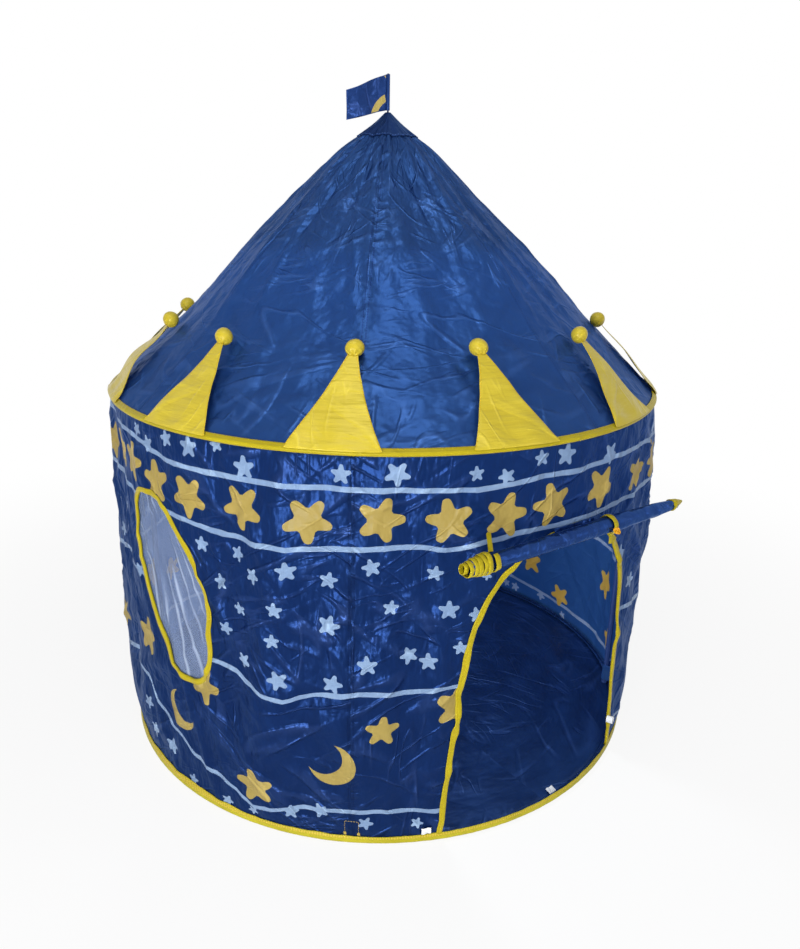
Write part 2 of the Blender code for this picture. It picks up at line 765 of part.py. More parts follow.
def make_foot_pockets(cloth):
    """Loops sewn inside the foot of the wall, which hold the legs."""
    around = TUBE_RADIUS + CLEARANCE + POCKET_CLOTH
    falls_back = POCKET_WIDTH / 2 * math.tan(math.radians(STATION / 2))
    wall_side = HOOP_RADIUS - WALL_CLOTH / 2 - falls_back - CLOTH_GAP - POCKET_CLOTH / 2
    path = [(POCKET_WIDTH / 2, LEG_RADIUS - wall_side), (-POCKET_WIDTH / 2, LEG_RADIUS - wall_side)]
    for i in range(POCKET_STEPS + 1):
        turn = math.pi * (1 - i / POCKET_STEPS)
        path.append((around * math.cos(turn), around * math.sin(turn)))
    bottom = GROUND_HEM + FOOT_HEIGHT + 2 * CLEARANCE

    def to_place(aside, inward, up):
        return Vector((aside, inward, up))

    mesh = ribbon("foot_pocket", path, POCKET_CLOTH, POCKET_HEIGHT, to_place, True)
    for number, azimuth in enumerate(POLES, 1):
        place = at(azimuth, LEG_RADIUS, bottom)
        add_mesh(f"foot_pocket_{number}", mesh, cloth, place, azimuth)


def roll_axis():
    """Distance forward of the tent's axis at which the roll clears the tape of the doorway and its own ties."""
    return HOOP_RADIUS + EDGE_OUT + 2 * CLOTH_GAP + TIE_TAPE + ROLL_RADIUS


def roll_girth(x):
    """Share of the roll's full thickness at a place along it."""
    reach = ROLL_HALF_LENGTH_LEFT if x < 0 else ROLL_HALF_LENGTH_RIGHT
    share = x / reach
    for (start, low), (end, high) in zip(ROLL_GIRTH_SHARES, ROLL_GIRTH_SHARES[1:]):
        if share <= end:
            return mix(low, high, (share - start) / (end - start))
    return ROLL_GIRTH_SHARES[-1][1]


def roll_section():
    """Outline of the rolled cloth: a spiral band, as offsets towards the tent and up."""
    steps = ROLL_TURNS * ROLL_TURN_STEPS
    middle = ROLL_RADIUS - ROLL_CLOTH / 2
    outer, inner = [], []
    for i in range(steps + 1):
        radius = mix(middle, ROLL_CORE, i / steps)
        turn = math.tau * i / ROLL_TURN_STEPS
        for side, points in ((1, outer), (-1, inner)):
            size = radius + side * ROLL_CLOTH / 2
            points.append((size * math.cos(turn), size * math.sin(turn)))
    least = min(
        math.dist(a, b) for i, a in enumerate(outer) for j, b in enumerate(inner) if j < i - 5
    )
    print(f"rolled flap: least gap between turns {least * ROLL_GIRTH_SHARES[-1][1] * 1000:.2f} mm")
    return outer + inner[::-1]


def edge_radius(share):
    """Radius of the wound edge at a share of its length."""
    return mix(EDGE_START_RADIUS, EDGE_END_RADIUS, share)


def make_door_roll(cloth, tape):
    """The door flap, rolled up and tied over the doorway, hung from its sewn top edge."""
    forward = roll_axis()
    neck_middle = HOOP_RADIUS + EDGE_OUT + CLOTH_GAP + ROLL_CLOTH / 2
    hinge = Vector((0, -neck_middle, ROLL_HEIGHT + NECK_HEIGHT))
    pivot = bpy.data.objects.new("door_roll_pivot", None)
    bpy.context.scene.collection.objects.link(pivot)
    pivot.location = hinge
    section = roll_section()
    facet = math.cos(math.pi / EDGE_TURN_STEPS)
    core = (edge_radius(EDGE_CORE_SHARE) - EDGE_TAPE / 2) * facet - CLEARANCE
    stations = [(-ROLL_HALF_LENGTH_LEFT - EDGE_LENGTH * EDGE_CORE_SHARE, core / ROLL_RADIUS)]
    for share, girth in ROLL_GIRTH_SHARES:
        reach = ROLL_HALF_LENGTH_LEFT if share < 0 else ROLL_HALF_LENGTH_RIGHT
        stations.append((share * reach, girth))
    rings = []
    for x, girth in stations:
        rings.append(
            [
                Vector((x, inward * girth - forward, up * girth + ROLL_HEIGHT)) - hinge
                for inward, up in section
            ]
        )
    roll = add_mesh("door_roll", loft("door_roll", rings), cloth, hinge, parent=pivot)
    neck_sides = (neck_middle - ROLL_CLOTH / 2, neck_middle + ROLL_CLOTH / 2)
    low = ROLL_HEIGHT
    inside = forward - ROLL_RADIUS + ROLL_CLOTH / 2
    neck_outline = (
        (-neck_sides[0], hinge[2]),
        (-neck_sides[1], hinge[2]),
        (-inside, low),
        (-neck_sides[0], low),
    )
    neck = loft(
        "neck", [[(x, y, z) for y, z in neck_outline] for x in (-NECK_HALF_WIDTH, NECK_HALF_WIDTH)]
    )
    boolean(roll, add_mesh("neck", neck, cloth), "UNION")
    tip_start = ROLL_HALF_LENGTH_RIGHT - ROLL_CLOTH
    tip_radius = ROLL_RADIUS * ROLL_GIRTH_SHARES[-1][1]
    bm = bmesh.new()
    centre = Vector((tip_start, -forward, ROLL_HEIGHT))
    bmesh.ops.create_cone(
        bm,
        cap_ends=True,
        segments=ROLL_TURN_STEPS,
        radius1=tip_radius,
        radius2=ROLL_TIP_END,
        depth=ROLL_TIP,
        matrix=rod_matrix(centre, (1, 0, 0)) @ Matrix.Translation((0, 0, ROLL_TIP / 2)),
    )
    boolean(roll, add_mesh("roll_tip", finished(bm, "roll_tip"), tape), "UNION")
    make_roll_edge(tape, forward, pivot)
    make_ties(tape, forward, pivot)


def make_roll_edge(tape, forward, pivot):
    """The flap's bound edge, wound into a stack of turns that narrow towards the left end."""
    start_x = -ROLL_HALF_LENGTH_LEFT - CLEARANCE - EDGE_TAPE_WIDTH / 2
    steps = EDGE_TURNS * EDGE_TURN_STEPS
    rings = []
    for i in range(steps + 1):
        share = i / steps
        turn = math.tau * i / EDGE_TURN_STEPS
        radius = edge_radius(share)
        x = start_x - EDGE_LENGTH * share
        ring = []
        for side, across in ((-1, -1), (1, -1), (1, 1), (-1, 1)):
            size = radius + side * EDGE_TAPE / 2
            place = Vector((x + across * EDGE_TAPE_WIDTH / 2, size * math.cos(turn), size * math.sin(turn)))
            ring.append(place + Vector((0, -forward, ROLL_HEIGHT)) - pivot.location)
        rings.append(ring)
    add_mesh("door_roll_edge", loft("door_roll_edge", rings), tape, pivot.location, parent=pivot)
    radial = (EDGE_START_RADIUS - EDGE_END_RADIUS) / EDGE_TURNS - EDGE_TAPE
    print(f"wound edge: least gap between turns {radial * 1000:.2f} mm")


def make_ties(tape, forward, pivot):
    """Tapes round the roll: the left one runs back to the wall, the middle one hangs its end below."""
    for name, x in (("roll_tie_left", LEFT_TIE_X), ("roll_tie_middle", MIDDLE_TIE_X)):
        half_gap = math.radians(TIE_GAP_ANGLE / 2)
        half_step = (math.pi - half_gap) / TIE_STEPS
        girth = max(roll_girth(x), roll_girth(x + TIE_WIDTH))
        around = (ROLL_RADIUS * girth + CLEARANCE + TIE_TAPE / 2) / math.cos(half_step)
        first, last = math.pi / 2 - half_gap, math.pi / 2 - math.tau + half_gap
        turns = [mix(first, last, i / TIE_STEPS) for i in range(TIE_STEPS + 1)]
        path = [(around * math.cos(turn), around * math.sin(turn)) for turn in turns]
        if name == "roll_tie_left":
            end_height = around * math.sin(first)
            off_wall = (WALL_CLOTH + TIE_TAPE) / 2 + 2 * CLOTH_GAP
            at_wall = on_wall(0, x + TIE_WIDTH, ROLL_HEIGHT + end_height, off_wall)
            path = [(forward + at_wall[1], end_height)] + path
        else:
            path = list(reversed([(-a, -b) for a, b in path]))
            path.append((path[-1][0] - TIE_TAPE, path[-1][1] - TIE_END_LENGTH))

        def to_place(inward, up, across, x=x):
            return Vector((x + across, inward - forward, up + ROLL_HEIGHT)) - pivot.location

        mesh = ribbon(name, path, TIE_TAPE, TIE_WIDTH, to_place)
        add_mesh(name, mesh, tape, pivot.location, parent=pivot)


def flag_bottom():
    return roof_height(CAP_HOLE_RADIUS, ROOF_CLOTH * 3 / 2 + CLOTH_GAP) + CLEARANCE


def make_flag(cloth):
    """Flag with a sleeve round the stem that stands on the cap, drooping towards its fly."""

    def place(along, up):
        low = -FLAG_DROOP * along
        high = mix(FLAG_HOIST, FLAG_FLY - FLAG_DROOP, along)
        out = bore_for(STEM_RADIUS) + SLEEVE_WALL / 2 + FLAG_LENGTH * along
        return Vector((FLAG_WAVE * math.sin(math.tau * along), -out, mix(low, high, up)))

    flag = sheet("flag", FLAG_COLUMN_COUNT, FLAG_ROW_COUNT, place, FLAG_CLOTH, cloth)
    outer = bore_for(STEM_RADIUS) + SLEEVE_WALL
    sleeve = add_mesh("sleeve", rod("sleeve", (0, 0, 0), (0, 0, 1), FLAG_HOIST, outer), cloth)
    start = (0, 0, -OVERRUN)
    bore = rod("bore", start, (0, 0, 1), FLAG_HOIST + 2 * OVERRUN, bore_for(STEM_RADIUS))
    bore = add_mesh("bore", bore, cloth)
    boolean(flag, sleeve, "UNION")
    boolean(flag, bore, "DIFFERENCE")
    mesh = baked(flag, [sleeve, bore])
    add_mesh("flag", mesh, cloth, (0, 0, flag_bottom()), FLAG_AZIMUTH)


def main():
    for obj in list(bpy.data.objects):
        bpy.data.objects.remove(obj, do_unlink=True)
    print_cloth = material("printed_cloth", (0.012, 0.035, 0.15), 0.35)
    flap_cloth = material("flap_cloth", (0.012, 0.035, 0.15), 0.35)
    roof_cloth = material("roof_cloth", (0.026, 0.075, 0.25), 0.4)
    ground_cloth = material("ground_cloth", (0.008, 0.018, 0.06), 0.5)
    satin = material("satin", (0.79, 0.60, 0.03), 0.35)
    tape = material("binding_tape", (0.80, 0.66, 0.02), 0.5)
    net = material("net", (0.6, 0.66, 0.75), 0.6)
    steel = material("spring_steel", (0.35, 0.36, 0.38), 0.3, 1.0)
    pole = material("pole_plastic", (0.75, 0.75, 0.73), 0.4)
    fitting = material("fitting_plastic", (0.68, 0.68, 0.66), 0.45)
    make_ground_sheet(ground_cloth)
    make_hoops(steel)
    make_bindings(tape)
    make_walls(print_cloth)
    edge_tape("door_binding", door_outline(), 0, tape, False)
    edge_tape("window_binding", window_outline(), WINDOW_AZIMUTH, tape, True)
    make_window_net(net)
    make_roof(roof_cloth)
    make_crown_points(satin)
    make_frame(fitting, pole)
    make_foot_pockets(print_cloth)
    make_door_roll(flap_cloth, tape)
    make_flag(flap_cloth)


main()
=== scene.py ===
"""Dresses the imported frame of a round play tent: printed wall, roof, tapes, padded points and rolled door flap."""

import math
import random

import bmesh
import bpy
from mathutils import Matrix, Vector, geometry, kdtree, noise


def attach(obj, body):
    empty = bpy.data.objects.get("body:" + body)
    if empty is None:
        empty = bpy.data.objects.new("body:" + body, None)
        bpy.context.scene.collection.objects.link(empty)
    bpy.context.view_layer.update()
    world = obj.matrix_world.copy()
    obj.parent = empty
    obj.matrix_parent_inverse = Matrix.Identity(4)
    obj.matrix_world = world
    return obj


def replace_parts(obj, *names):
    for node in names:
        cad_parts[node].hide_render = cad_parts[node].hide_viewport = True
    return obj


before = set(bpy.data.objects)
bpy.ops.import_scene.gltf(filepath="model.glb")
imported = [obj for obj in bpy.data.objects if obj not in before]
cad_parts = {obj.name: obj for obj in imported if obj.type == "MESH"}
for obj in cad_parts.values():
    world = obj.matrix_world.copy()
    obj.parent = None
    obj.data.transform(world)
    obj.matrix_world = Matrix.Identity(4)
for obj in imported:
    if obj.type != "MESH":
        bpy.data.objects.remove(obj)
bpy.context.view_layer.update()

bl_info = {
    "name": "Play tent dressing",
    "version": (1, 0, 0),
    "blender": (4, 5, 0),
    "location": "View3D > Sidebar > Play tent",
    "description": "Makes the cloths, tapes and trims of a round play tent over its packed frame",
    "category": "Object",
}

# Shape of the tent, in metres and degrees, as its frame has it
HOOP_RADIUS = 0.52038
EAVE_HEIGHT = 0.6815
SLOPE = math.atan((1.168 - EAVE_HEIGHT) / HOOP_RADIUS)
WALL_BOTTOM = 0.0086
WALL_TOP = 0.6764
WALL_CLOTH = 0.0014
ROOF_CLOTH = 0.0014
BINDING_RADIUS = 0.0040
POLES = (-40, 50, 140, 230)
LEG_RADIUS = 0.5038
# Folds down the wall: azimuth at the top, degrees that the foot lies aside, half width in degrees, depth outwards
FOLDS = (
    (-51, -6, 9, 0.020), (-30, 0, 5, -0.005), (38, 0, 19, 0.010), (68, 0, 12, 0.012), (92, 0, 12, -0.010),
    (116, 0, 12, 0.010), (160, 0, 13, -0.012), (185, 0, 13, 0.012), (208, 0, 12, -0.010), (247, 0, 12, 0.012),
    (261, 0, 6, -0.006),
)
# Creases across the wall: azimuth and height of each end, depth outwards and half width
CREASES = (
    (-26.5, 0.300, -17.5, 0.262, -0.0035, 0.010), (-30.5, 0.265, -23.0, 0.285, -0.0025, 0.008),
    (-49.0, 0.272, -43.5, 0.292, -0.0030, 0.008), (-49.5, 0.400, -40.5, 0.412, 0.0030, 0.010),
    (-35.5, 0.345, -25.0, 0.425, 0.0025, 0.012), (-72.0, 0.240, -62.0, 0.150, 0.0025, 0.012),
    (-66.0, 0.560, -58.0, 0.600, 0.0020, 0.010), (28.0, 0.600, 40.0, 0.500, 0.0025, 0.012),
    (60.0, 0.160, 74.0, 0.300, 0.0025, 0.012), (150.0, 0.480, 172.0, 0.360, 0.0025, 0.012),
    (200.0, 0.210, 222.0, 0.300, 0.0025, 0.012),
)
# Soft bulges of the wall: azimuth, height, half width in degrees, half height and depth outwards
BULGES = (
    (38, 0.430, 15, 0.13, 0.006), (-104, 0.600, 20, 0.16, -0.006), (-100, 0.090, 20, 0.12, 0.010),
    (-20, 0.420, 9, 0.16, 0.004), (-41, 0.235, 15, 0.25, 0.015),
)
# Crumples of the wall: depth, slant in degrees a metre, usual width and height, seed; then its ridges, the same way
CRUMPLES = ((0.0040, 0, 0.11, 0.20, 3), (0.0028, 0, 0.030, 0.30, 7), (0.0022, 40, 0.022, 0.09, 23))
RIDGES = ((0.0044, 55, 0.10, 0.34, 71), (0.0038, -80, 0.09, 0.26, 77))
# Creases of the roof: azimuth and place up the slope of the upper end, then of the lower end, and depth outwards
ROOF_CREASES = (
    (-20, 0.60, -12, 0.40, -0.004), (-46, 0.60, -57, 0.44, -0.0035), (-28, 0.62, -36, 0.30, -0.003),
    (-66, 0.56, -80, 0.30, -0.003), (4, 0.56, 14, 0.26, -0.003), (60, 0.55, 80, 0.30, -0.003),
    (150, 0.60, 160, 0.35, -0.003),
)
GORE_ANGLE = 45
GORE_TOP_RADIUS = 0.016
GORE_START = 0.0031
GORE_END = (HOOP_RADIUS - GORE_TOP_RADIUS) / math.cos(SLOPE)
ROOF_SAG = 0.009
CAP_TOP_RADIUS = 0.0031
CAP_RADIUS = 0.0505
DOOR_BASE_HALF = 0.208
DOOR_SPRING_HALF = 0.180
DOOR_SPRING_HEIGHT = 0.330
DOOR_TOP = 0.535
WINDOW_AZIMUTH = -77.8
WINDOW_HEIGHT = 0.400
WINDOW_HALF_WIDTH = 0.085
WINDOW_HALF_HEIGHT = 0.163
WINDOW_LEAN = 15
# How far the window's edge is drawn out of its oval, by degrees round it
WINDOW_PULL = (
    (-4, 1.09), (15, 1.04), (46, 0.955), (68, 1.01), (85, 1.0), (114, 1.075), (143, 1.05), (164, 0.99), (193, 0.95),
    (225, 0.91), (244, 1.0), (261, 1.0), (295, 1.04), (334, 1.0), (356, 1.09),
)
CROWN_FIRST_AZIMUTH = -73
CROWN_HALF_WIDTH = 0.073
CROWN_TIP_HALF = 0.006
CROWN_LENGTH = 0.171
CROWN_TAPER = 1.25
CROWN_RISE = SLOPE + math.asin((0.0158 - 0.00584) / CROWN_LENGTH)
# How far each crown point leans aside at its ball
CROWN_LEANS = (-0.004, 0.012, -0.012, 0.008, 0.003, -0.005, 0.004, -0.003, 0.005, -0.004, -0.012, -0.012)
BALL_RADIUS = 0.0145
HINGE_RADIUS = 0.52571
HINGE_HEIGHT = 0.68451
ROLL_LEFT = -0.200
ROLL_RIGHT = 0.236
ROLL_RADIUS = 0.014
ROLL_FORWARD = 0.53908
ROLL_HEIGHT = 0.531
ROLL_GIRTHS = ((-1.2, 0.88), (-1.0, 0.93), (-0.4, 0.98), (0.0, 1.0), (0.35, 1.05), (0.7, 0.88), (1.0, 0.60))
ROLL_THICKNESS = 0.0011
TIE_WIDTH = 0.009
TIES = (("roll_tie_left", -0.190), ("roll_tie_middle", 0.060))
FLAG_AZIMUTH = -135
FLAG_BOTTOM = 1.1704
FLAG_LENGTH = 0.0740
FLAG_HOIST = 0.0592
SLEEVE_RADIUS = 0.0030
POCKET_BOTTOM = 0.0116
POCKET_HEIGHT = 0.036
# Outside and inside of a tape folded over an edge: how far it laps over the cloth, and its distance from the middle
TAPE_OUTSIDE = (
    (0.0074, 0.0013), (0.0072, 0.0020), (0.0056, 0.0025), (0.0032, 0.0027), (0.0006, 0.0027), (-0.0012, 0.0024),
    (-0.0021, 0.0013), (-0.0023, 0),
)
TAPE_INSIDE = ((0.0070, 0.0009), (0.0035, 0.0010), (-0.0003, 0.0011), (-0.0008, 0))
# Cloth that a crown point is blown up in
PADDING = {
    "quality": 7, "mass": 0.12, "tension_stiffness": 18, "compression_stiffness": 10, "shear_stiffness": 5,
    "bending_stiffness": 0.06, "use_pressure": True, "uniform_pressure_force": 3.2, "shrink_min": 0.015,
    "vertex_group_mass": "sewn",
}
PADDING_FRAMES = 22
# Camera of the photo: where it stands, and its turns one after the other
CAMERA_PLACE = (-0.9106, -1.3005, 1.0175)
CAMERA_TURNS = ((-36.25, "Z"), (71.068, "X"), (1.1, "Z"))
LAMPS_AIM = (0, 0, 0.55)

# Print on the wall. Gold stars in a row: azimuth, height and turn
GOLD_ROW = (
    (-97, 0.600, 0), (-88, 0.600, 12), (-79.2, 0.585, -8), (-69.9, 0.580, 36), (-58.3, 0.584, 36),
    (-46.9, 0.577, 36), (-35.3, 0.581, 18), (-24.2, 0.577, -11), (-14.6, 0.579, 16), (-5.5, 0.584, -15),
    (6.9, 0.589, 34), (21, 0.583, 10), (32, 0.583, -14),
)
# Gold stars below: azimuth, height, size from the middle to a point and turn
GOLD_BELOW = (
    (-34.7, 0.228, 0.027, 5), (-58, 0.089, 0.036, -10), (-21.6, 0.259, 0.037, 12), (-69.5, 0.245, 0.035, 20),
    (-89, 0.265, 0.036, 0), (95, 0.125, 0.036, 8), (83.4, 0.065, 0.030, 30), (64.6, 0.179, 0.036, -12),
    (57, 0.075, 0.030, 16),
)
# Gold crescents: azimuth, height, outer radius, direction of the open side clockwise from up
CRESCENTS = ((-43.5, 0.160, 0.040, -50), (-77, 0.165, 0.038, 40), (118, 0.190, 0.040, 60), (205, 0.150, 0.040, -40))
# Pale stars over, between and under the stripes: azimuth, height and width
PALE_TOP = (
    (-85.1, 0.660, 0.022), (-81.3, 0.643, 0.027), (-75, 0.664, 0.026), (-69.3, 0.661, 0.033),
    (-63.1, 0.674, 0.022), (-57.8, 0.646, 0.034), (-41.6, 0.650, 0.028), (-32.8, 0.651, 0.036),
    (-20.1, 0.648, 0.022), (-14.9, 0.640, 0.024), (-8.4, 0.661, 0.024), (-3.1, 0.660, 0.034),
    (8.8, 0.642, 0.034), (32, 0.640, 0.025),
)
PALE_MIDDLE = (
    (-87.7, 0.425, 0.028), (-89.8, 0.393, 0.025), (-67.5, 0.506, 0.025), (-59.7, 0.506, 0.024),
    (-56.3, 0.480, 0.024), (-50.3, 0.498, 0.029), (-63.7, 0.450, 0.025), (-43.8, 0.482, 0.026),
    (-36.8, 0.505, 0.027), (-26.3, 0.494, 0.024), (-17.4, 0.485, 0.015), (-33.5, 0.439, 0.023),
    (-23.8, 0.433, 0.030), (-19.1, 0.422, 0.023), (-43.7, 0.409, 0.032), (18.1, 0.439, 0.030),
    (-52.4, 0.432, 0.025), (-59.5, 0.415, 0.022), (-63.2, 0.370, 0.024), (-53.1, 0.376, 0.023),
    (-59.2, 0.325, 0.025), (-52.3, 0.309, 0.032), (-43.1, 0.309, 0.030), (-37.3, 0.344, 0.030),
    (-30.3, 0.356, 0.027), (-26.9, 0.343, 0.028), (-21.4, 0.365, 0.023), (26.4, 0.357, 0.030),
)
PALE_BELOW = (
    (-89.9, 0.123, 0.026), (-88, 0.073, 0.028), (-81.6, 0.067, 0.030), (-75, 0.025, 0.022), (-65.3, 0.025, 0.022),
    (-59.1, 0.030, 0.018), (-51.4, 0.048, 0.026), (-45.8, 0.060, 0.026), (-37.5, 0.044, 0.024),
    (-28.1, 0.037, 0.020), (100.9, 0.025, 0.024), (91, 0.036, 0.026), (82, 0.015, 0.020),
)
# Pale stripes round the wall: azimuth and height of their middle
STRIPES = (
    ((-130, 0.640), (-105, 0.652), (-88.6, 0.649), (-83.2, 0.642), (-81.2, 0.635), (-74.5, 0.628), (-45, 0.628),
     (-18.8, 0.624), (-7.8, 0.632), (1.3, 0.630), (12.9, 0.633), (20.6, 0.632), (30.5, 0.625), (60, 0.630),
     (100, 0.624), (150, 0.632), (200, 0.626), (230, 0.640)),
    ((-130, 0.546), (-100, 0.548), (-79.7, 0.543), (-71.2, 0.539), (-62.9, 0.534), (-44.4, 0.533), (-31.7, 0.537),
     (-22.6, 0.531), (-17.3, 0.541), (-11.2, 0.548), (-2.7, 0.547), (11.7, 0.546), (21.1, 0.544), (60, 0.536),
     (110, 0.545), (160, 0.535), (200, 0.541), (230, 0.546)),
    ((-130, 0.318), (-115, 0.375), (-95.3, 0.402), (-90.8, 0.395), (-86.9, 0.386), (-67.8, 0.299), (-61.9, 0.296),
     (-58.2, 0.287), (-54.8, 0.277), (-51.6, 0.274), (-48.8, 0.280), (-45.3, 0.288), (-37.5, 0.296),
     (-31.6, 0.291), (-20.4, 0.295), (20, 0.313), (40, 0.285), (55, 0.266), (80, 0.266), (110, 0.290),
     (150, 0.330), (190, 0.285), (230, 0.318)),
    ((-130, 0.085), (-112, 0.160), (-97.2, 0.190), (-89.9, 0.179), (-85.1, 0.136), (-79.3, 0.113), (-72.8, 0.081),
     (-68, 0.075), (-63.9, 0.066), (-60.6, 0.052), (-58.8, 0.041), (-55.8, 0.046), (-49.2, 0.058),
     (-41.6, 0.066), (-33.3, 0.068), (-23.1, 0.058), (24, 0.055), (50, 0.043), (80, 0.040), (110, 0.055),
     (150, 0.085), (190, 0.060), (230, 0.085)),
)


def paint(red, green, blue):
    """A colour as a screen shows it, from 0 to 255, as Blender keeps it."""
    return tuple(((part / 255 + 0.055) / 1.055) ** 2.4 for part in (red, green, blue))


def mix(start, end, share):
    return start + (end - start) * share


def smooth(share):
    """Eases a share from 0 to 1."""
    share = min(max(share, 0), 1)
    return share * share * (3 - 2 * share)


def at(azimuth, radius, height):
    """Point at an azimuth in degrees from the front, a distance from the tent's axis and a height."""
    turn = math.radians(azimuth)
    return Vector((radius * math.sin(turn), -radius * math.cos(turn), height))


def along_hoop(azimuth):
    """Place of an azimuth on the wall cloth laid flat."""
    return math.radians(azimuth) * HOOP_RADIUS


def swung(point, azimuth):
    """Point turned round the tent's axis."""
    return Matrix.Rotation(math.radians(azimuth), 3, "Z") @ point


def grid(rows, columns, place):
    """Rows of points, each placed by the number of its row and of its column."""
    return [[place(i, j) for j in range(columns)] for i in range(rows)]


def on_roof(along, above):
    """Radius and height of a point along the roof's slope from the eave hoop, and square to it."""
    radius = HOOP_RADIUS - along * math.cos(SLOPE) + above * math.sin(SLOPE)
    return radius, EAVE_HEIGHT + along * math.sin(SLOPE) + above * math.cos(SLOPE)


def rumple(azimuth, height, wide, tall, seed):
    """Smooth unevenness from -1 to 1 that closes on itself round the tent."""
    turn = math.radians(azimuth)
    size = HOOP_RADIUS / wide
    return noise.noise(Vector((math.sin(turn) * size + seed, math.cos(turn) * size - seed, height / tall)))


def between(keys, place):
    """Height at a place along a list of places and heights."""
    for (start, low), (end, high) in zip(keys, keys[1:]):
        if place <= end:
            return mix(low, high, smooth((place - start) / (end - start)))
    return keys[-1][1]


def crease_out(azimuth, height):
    """How far the creases that cross the wall stand out at a place."""
    out = 0
    here = Vector((along_hoop(azimuth), height))
    for start_azimuth, start_height, end_azimuth, end_height, depth, half_width in CREASES:
        start = Vector((along_hoop(start_azimuth), start_height))
        run = Vector((along_hoop(end_azimuth), end_height)) - start
        along = (here - start).dot(run) / run.length_squared
        if -0.3 < along < 1.3:
            away = abs((here - start).cross(run)) / run.length
            bow = smooth((along + 0.3) / 0.5) * smooth((1.3 - along) / 0.5)
            out += depth * bow * math.exp(-((away / half_width) ** 2))
    return out


def creased(value, sharpness=3.0):
    """Turns smooth unevenness into narrow ridges where it crosses zero."""
    return max(1 - sharpness * abs(value), 0) ** 1.5


def wall_radius(azimuth, height):
    """Radius of the middle of the hanging wall cloth: its folds, creases and crumples, none at the hems."""
    share = min(max((height - WALL_BOTTOM) / (WALL_TOP - WALL_BOTTOM), 0), 1)
    fade = 1 - abs(2 * share - 1) ** 4
    radius = HOOP_RADIUS
    for centre, lean, half_width, depth in FOLDS:
        away = (azimuth - centre - lean * (1 - share) + 180) % 360 - 180
        if abs(away) < half_width:
            radius += depth * fade * (1 + math.cos(math.pi * away / half_width)) / 2
    held = 1 - abs(2 * share - 1) ** 14
    turned = azimuth if azimuth < 180 else azimuth - 360
    for centre, middle, half_width, half_height, depth in BULGES:
        away = ((turned - centre) / half_width) ** 2 + ((height - middle) / half_height) ** 2
        if away < 1:
            radius += held * depth * (1 - away) ** 2
    depth = -0.0014
    for deep, slant, *size in CRUMPLES:
        depth += deep * rumple(azimuth + height * slant, height, *size)
    for deep, slant, *size in RIDGES:
        depth += deep * creased(rumple(azimuth + height * slant, height, *size), 4)
    depth += 0.0026 * rumple(azimuth, height, 0.015, 0.05, 11) * math.exp(-(WALL_TOP - height) / 0.04)
    depth += 0.0018 * rumple(azimuth, height, 0.018, 0.04, 17) * math.exp(-(height - WALL_BOTTOM) / 0.04)
    behind_roll = math.exp(-((turned / 11) ** 2) - ((height - ROLL_HEIGHT) / 0.035) ** 2)
    return radius + held * (1 - 0.85 * behind_roll) * (depth + crease_out(turned, height))


def on_wall(azimuth, height, out=0.0):
    return at(azimuth, wall_radius(azimuth, height) + out, height)


def seen_from(facing, aside, height):
    """Azimuth of the wall's point that lies a distance aside of where an opening faces."""
    azimuth = facing
    for _ in range(5):
        azimuth = facing + math.degrees(math.asin(aside / wall_radius(azimuth, height)))
    return azimuth


def door_outline(steps=72):
    """Stations up one side of the doorway, over the arch and down: place, and direction into the cloth."""
    stations = []
    rise = DOOR_SPRING_HEIGHT - WALL_BOTTOM
    lean = Vector((rise, DOOR_BASE_HALF - DOOR_SPRING_HALF)).normalized()
    for i in range(40):
        half = mix(DOOR_BASE_HALF, DOOR_SPRING_HALF, i / 40)
        stations.append(((-half, WALL_BOTTOM + rise * i / 40), (-lean[0], lean[1])))
    crown = DOOR_TOP - DOOR_SPRING_HEIGHT
    for i in range(steps + 1):
        turn = math.pi * (1 - i / steps)
        across, up = math.cos(turn), math.sin(turn)
        into = Vector((crown * across, DOOR_SPRING_HALF * up)).normalized()
        stations.append(((DOOR_SPRING_HALF * across, DOOR_SPRING_HEIGHT + crown * up), (into[0], into[1])))
    return stations + [((-x, z), (-into_x, into_z)) for (x, z), (into_x, into_z) in reversed(stations[:40])]


def window_outline(grow=0.0, steps=120):
    """Stations round the window: place aside and height, and direction into the cloth."""
    stations = []
    lean = math.radians(WINDOW_LEAN)
    width, height = WINDOW_HALF_WIDTH + grow, WINDOW_HALF_HEIGHT + grow
    for i in range(steps):
        turn = math.tau * i / steps
        into = Vector((height * math.cos(turn), width * math.sin(turn))).normalized()
        pull = between(WINDOW_PULL, (360 * i / steps + 4) % 360 - 4)
        pairs = ((pull * width * math.cos(turn), pull * height * math.sin(turn)), (into[0], into[1]))
        leaned = [
            (x * math.cos(lean) - z * math.sin(lean), x * math.sin(lean) + z * math.cos(lean)) for x, z in pairs
        ]
        stations.append(((leaned[0][0], WINDOW_HEIGHT + leaned[0][1]), leaned[1]))
    return stations


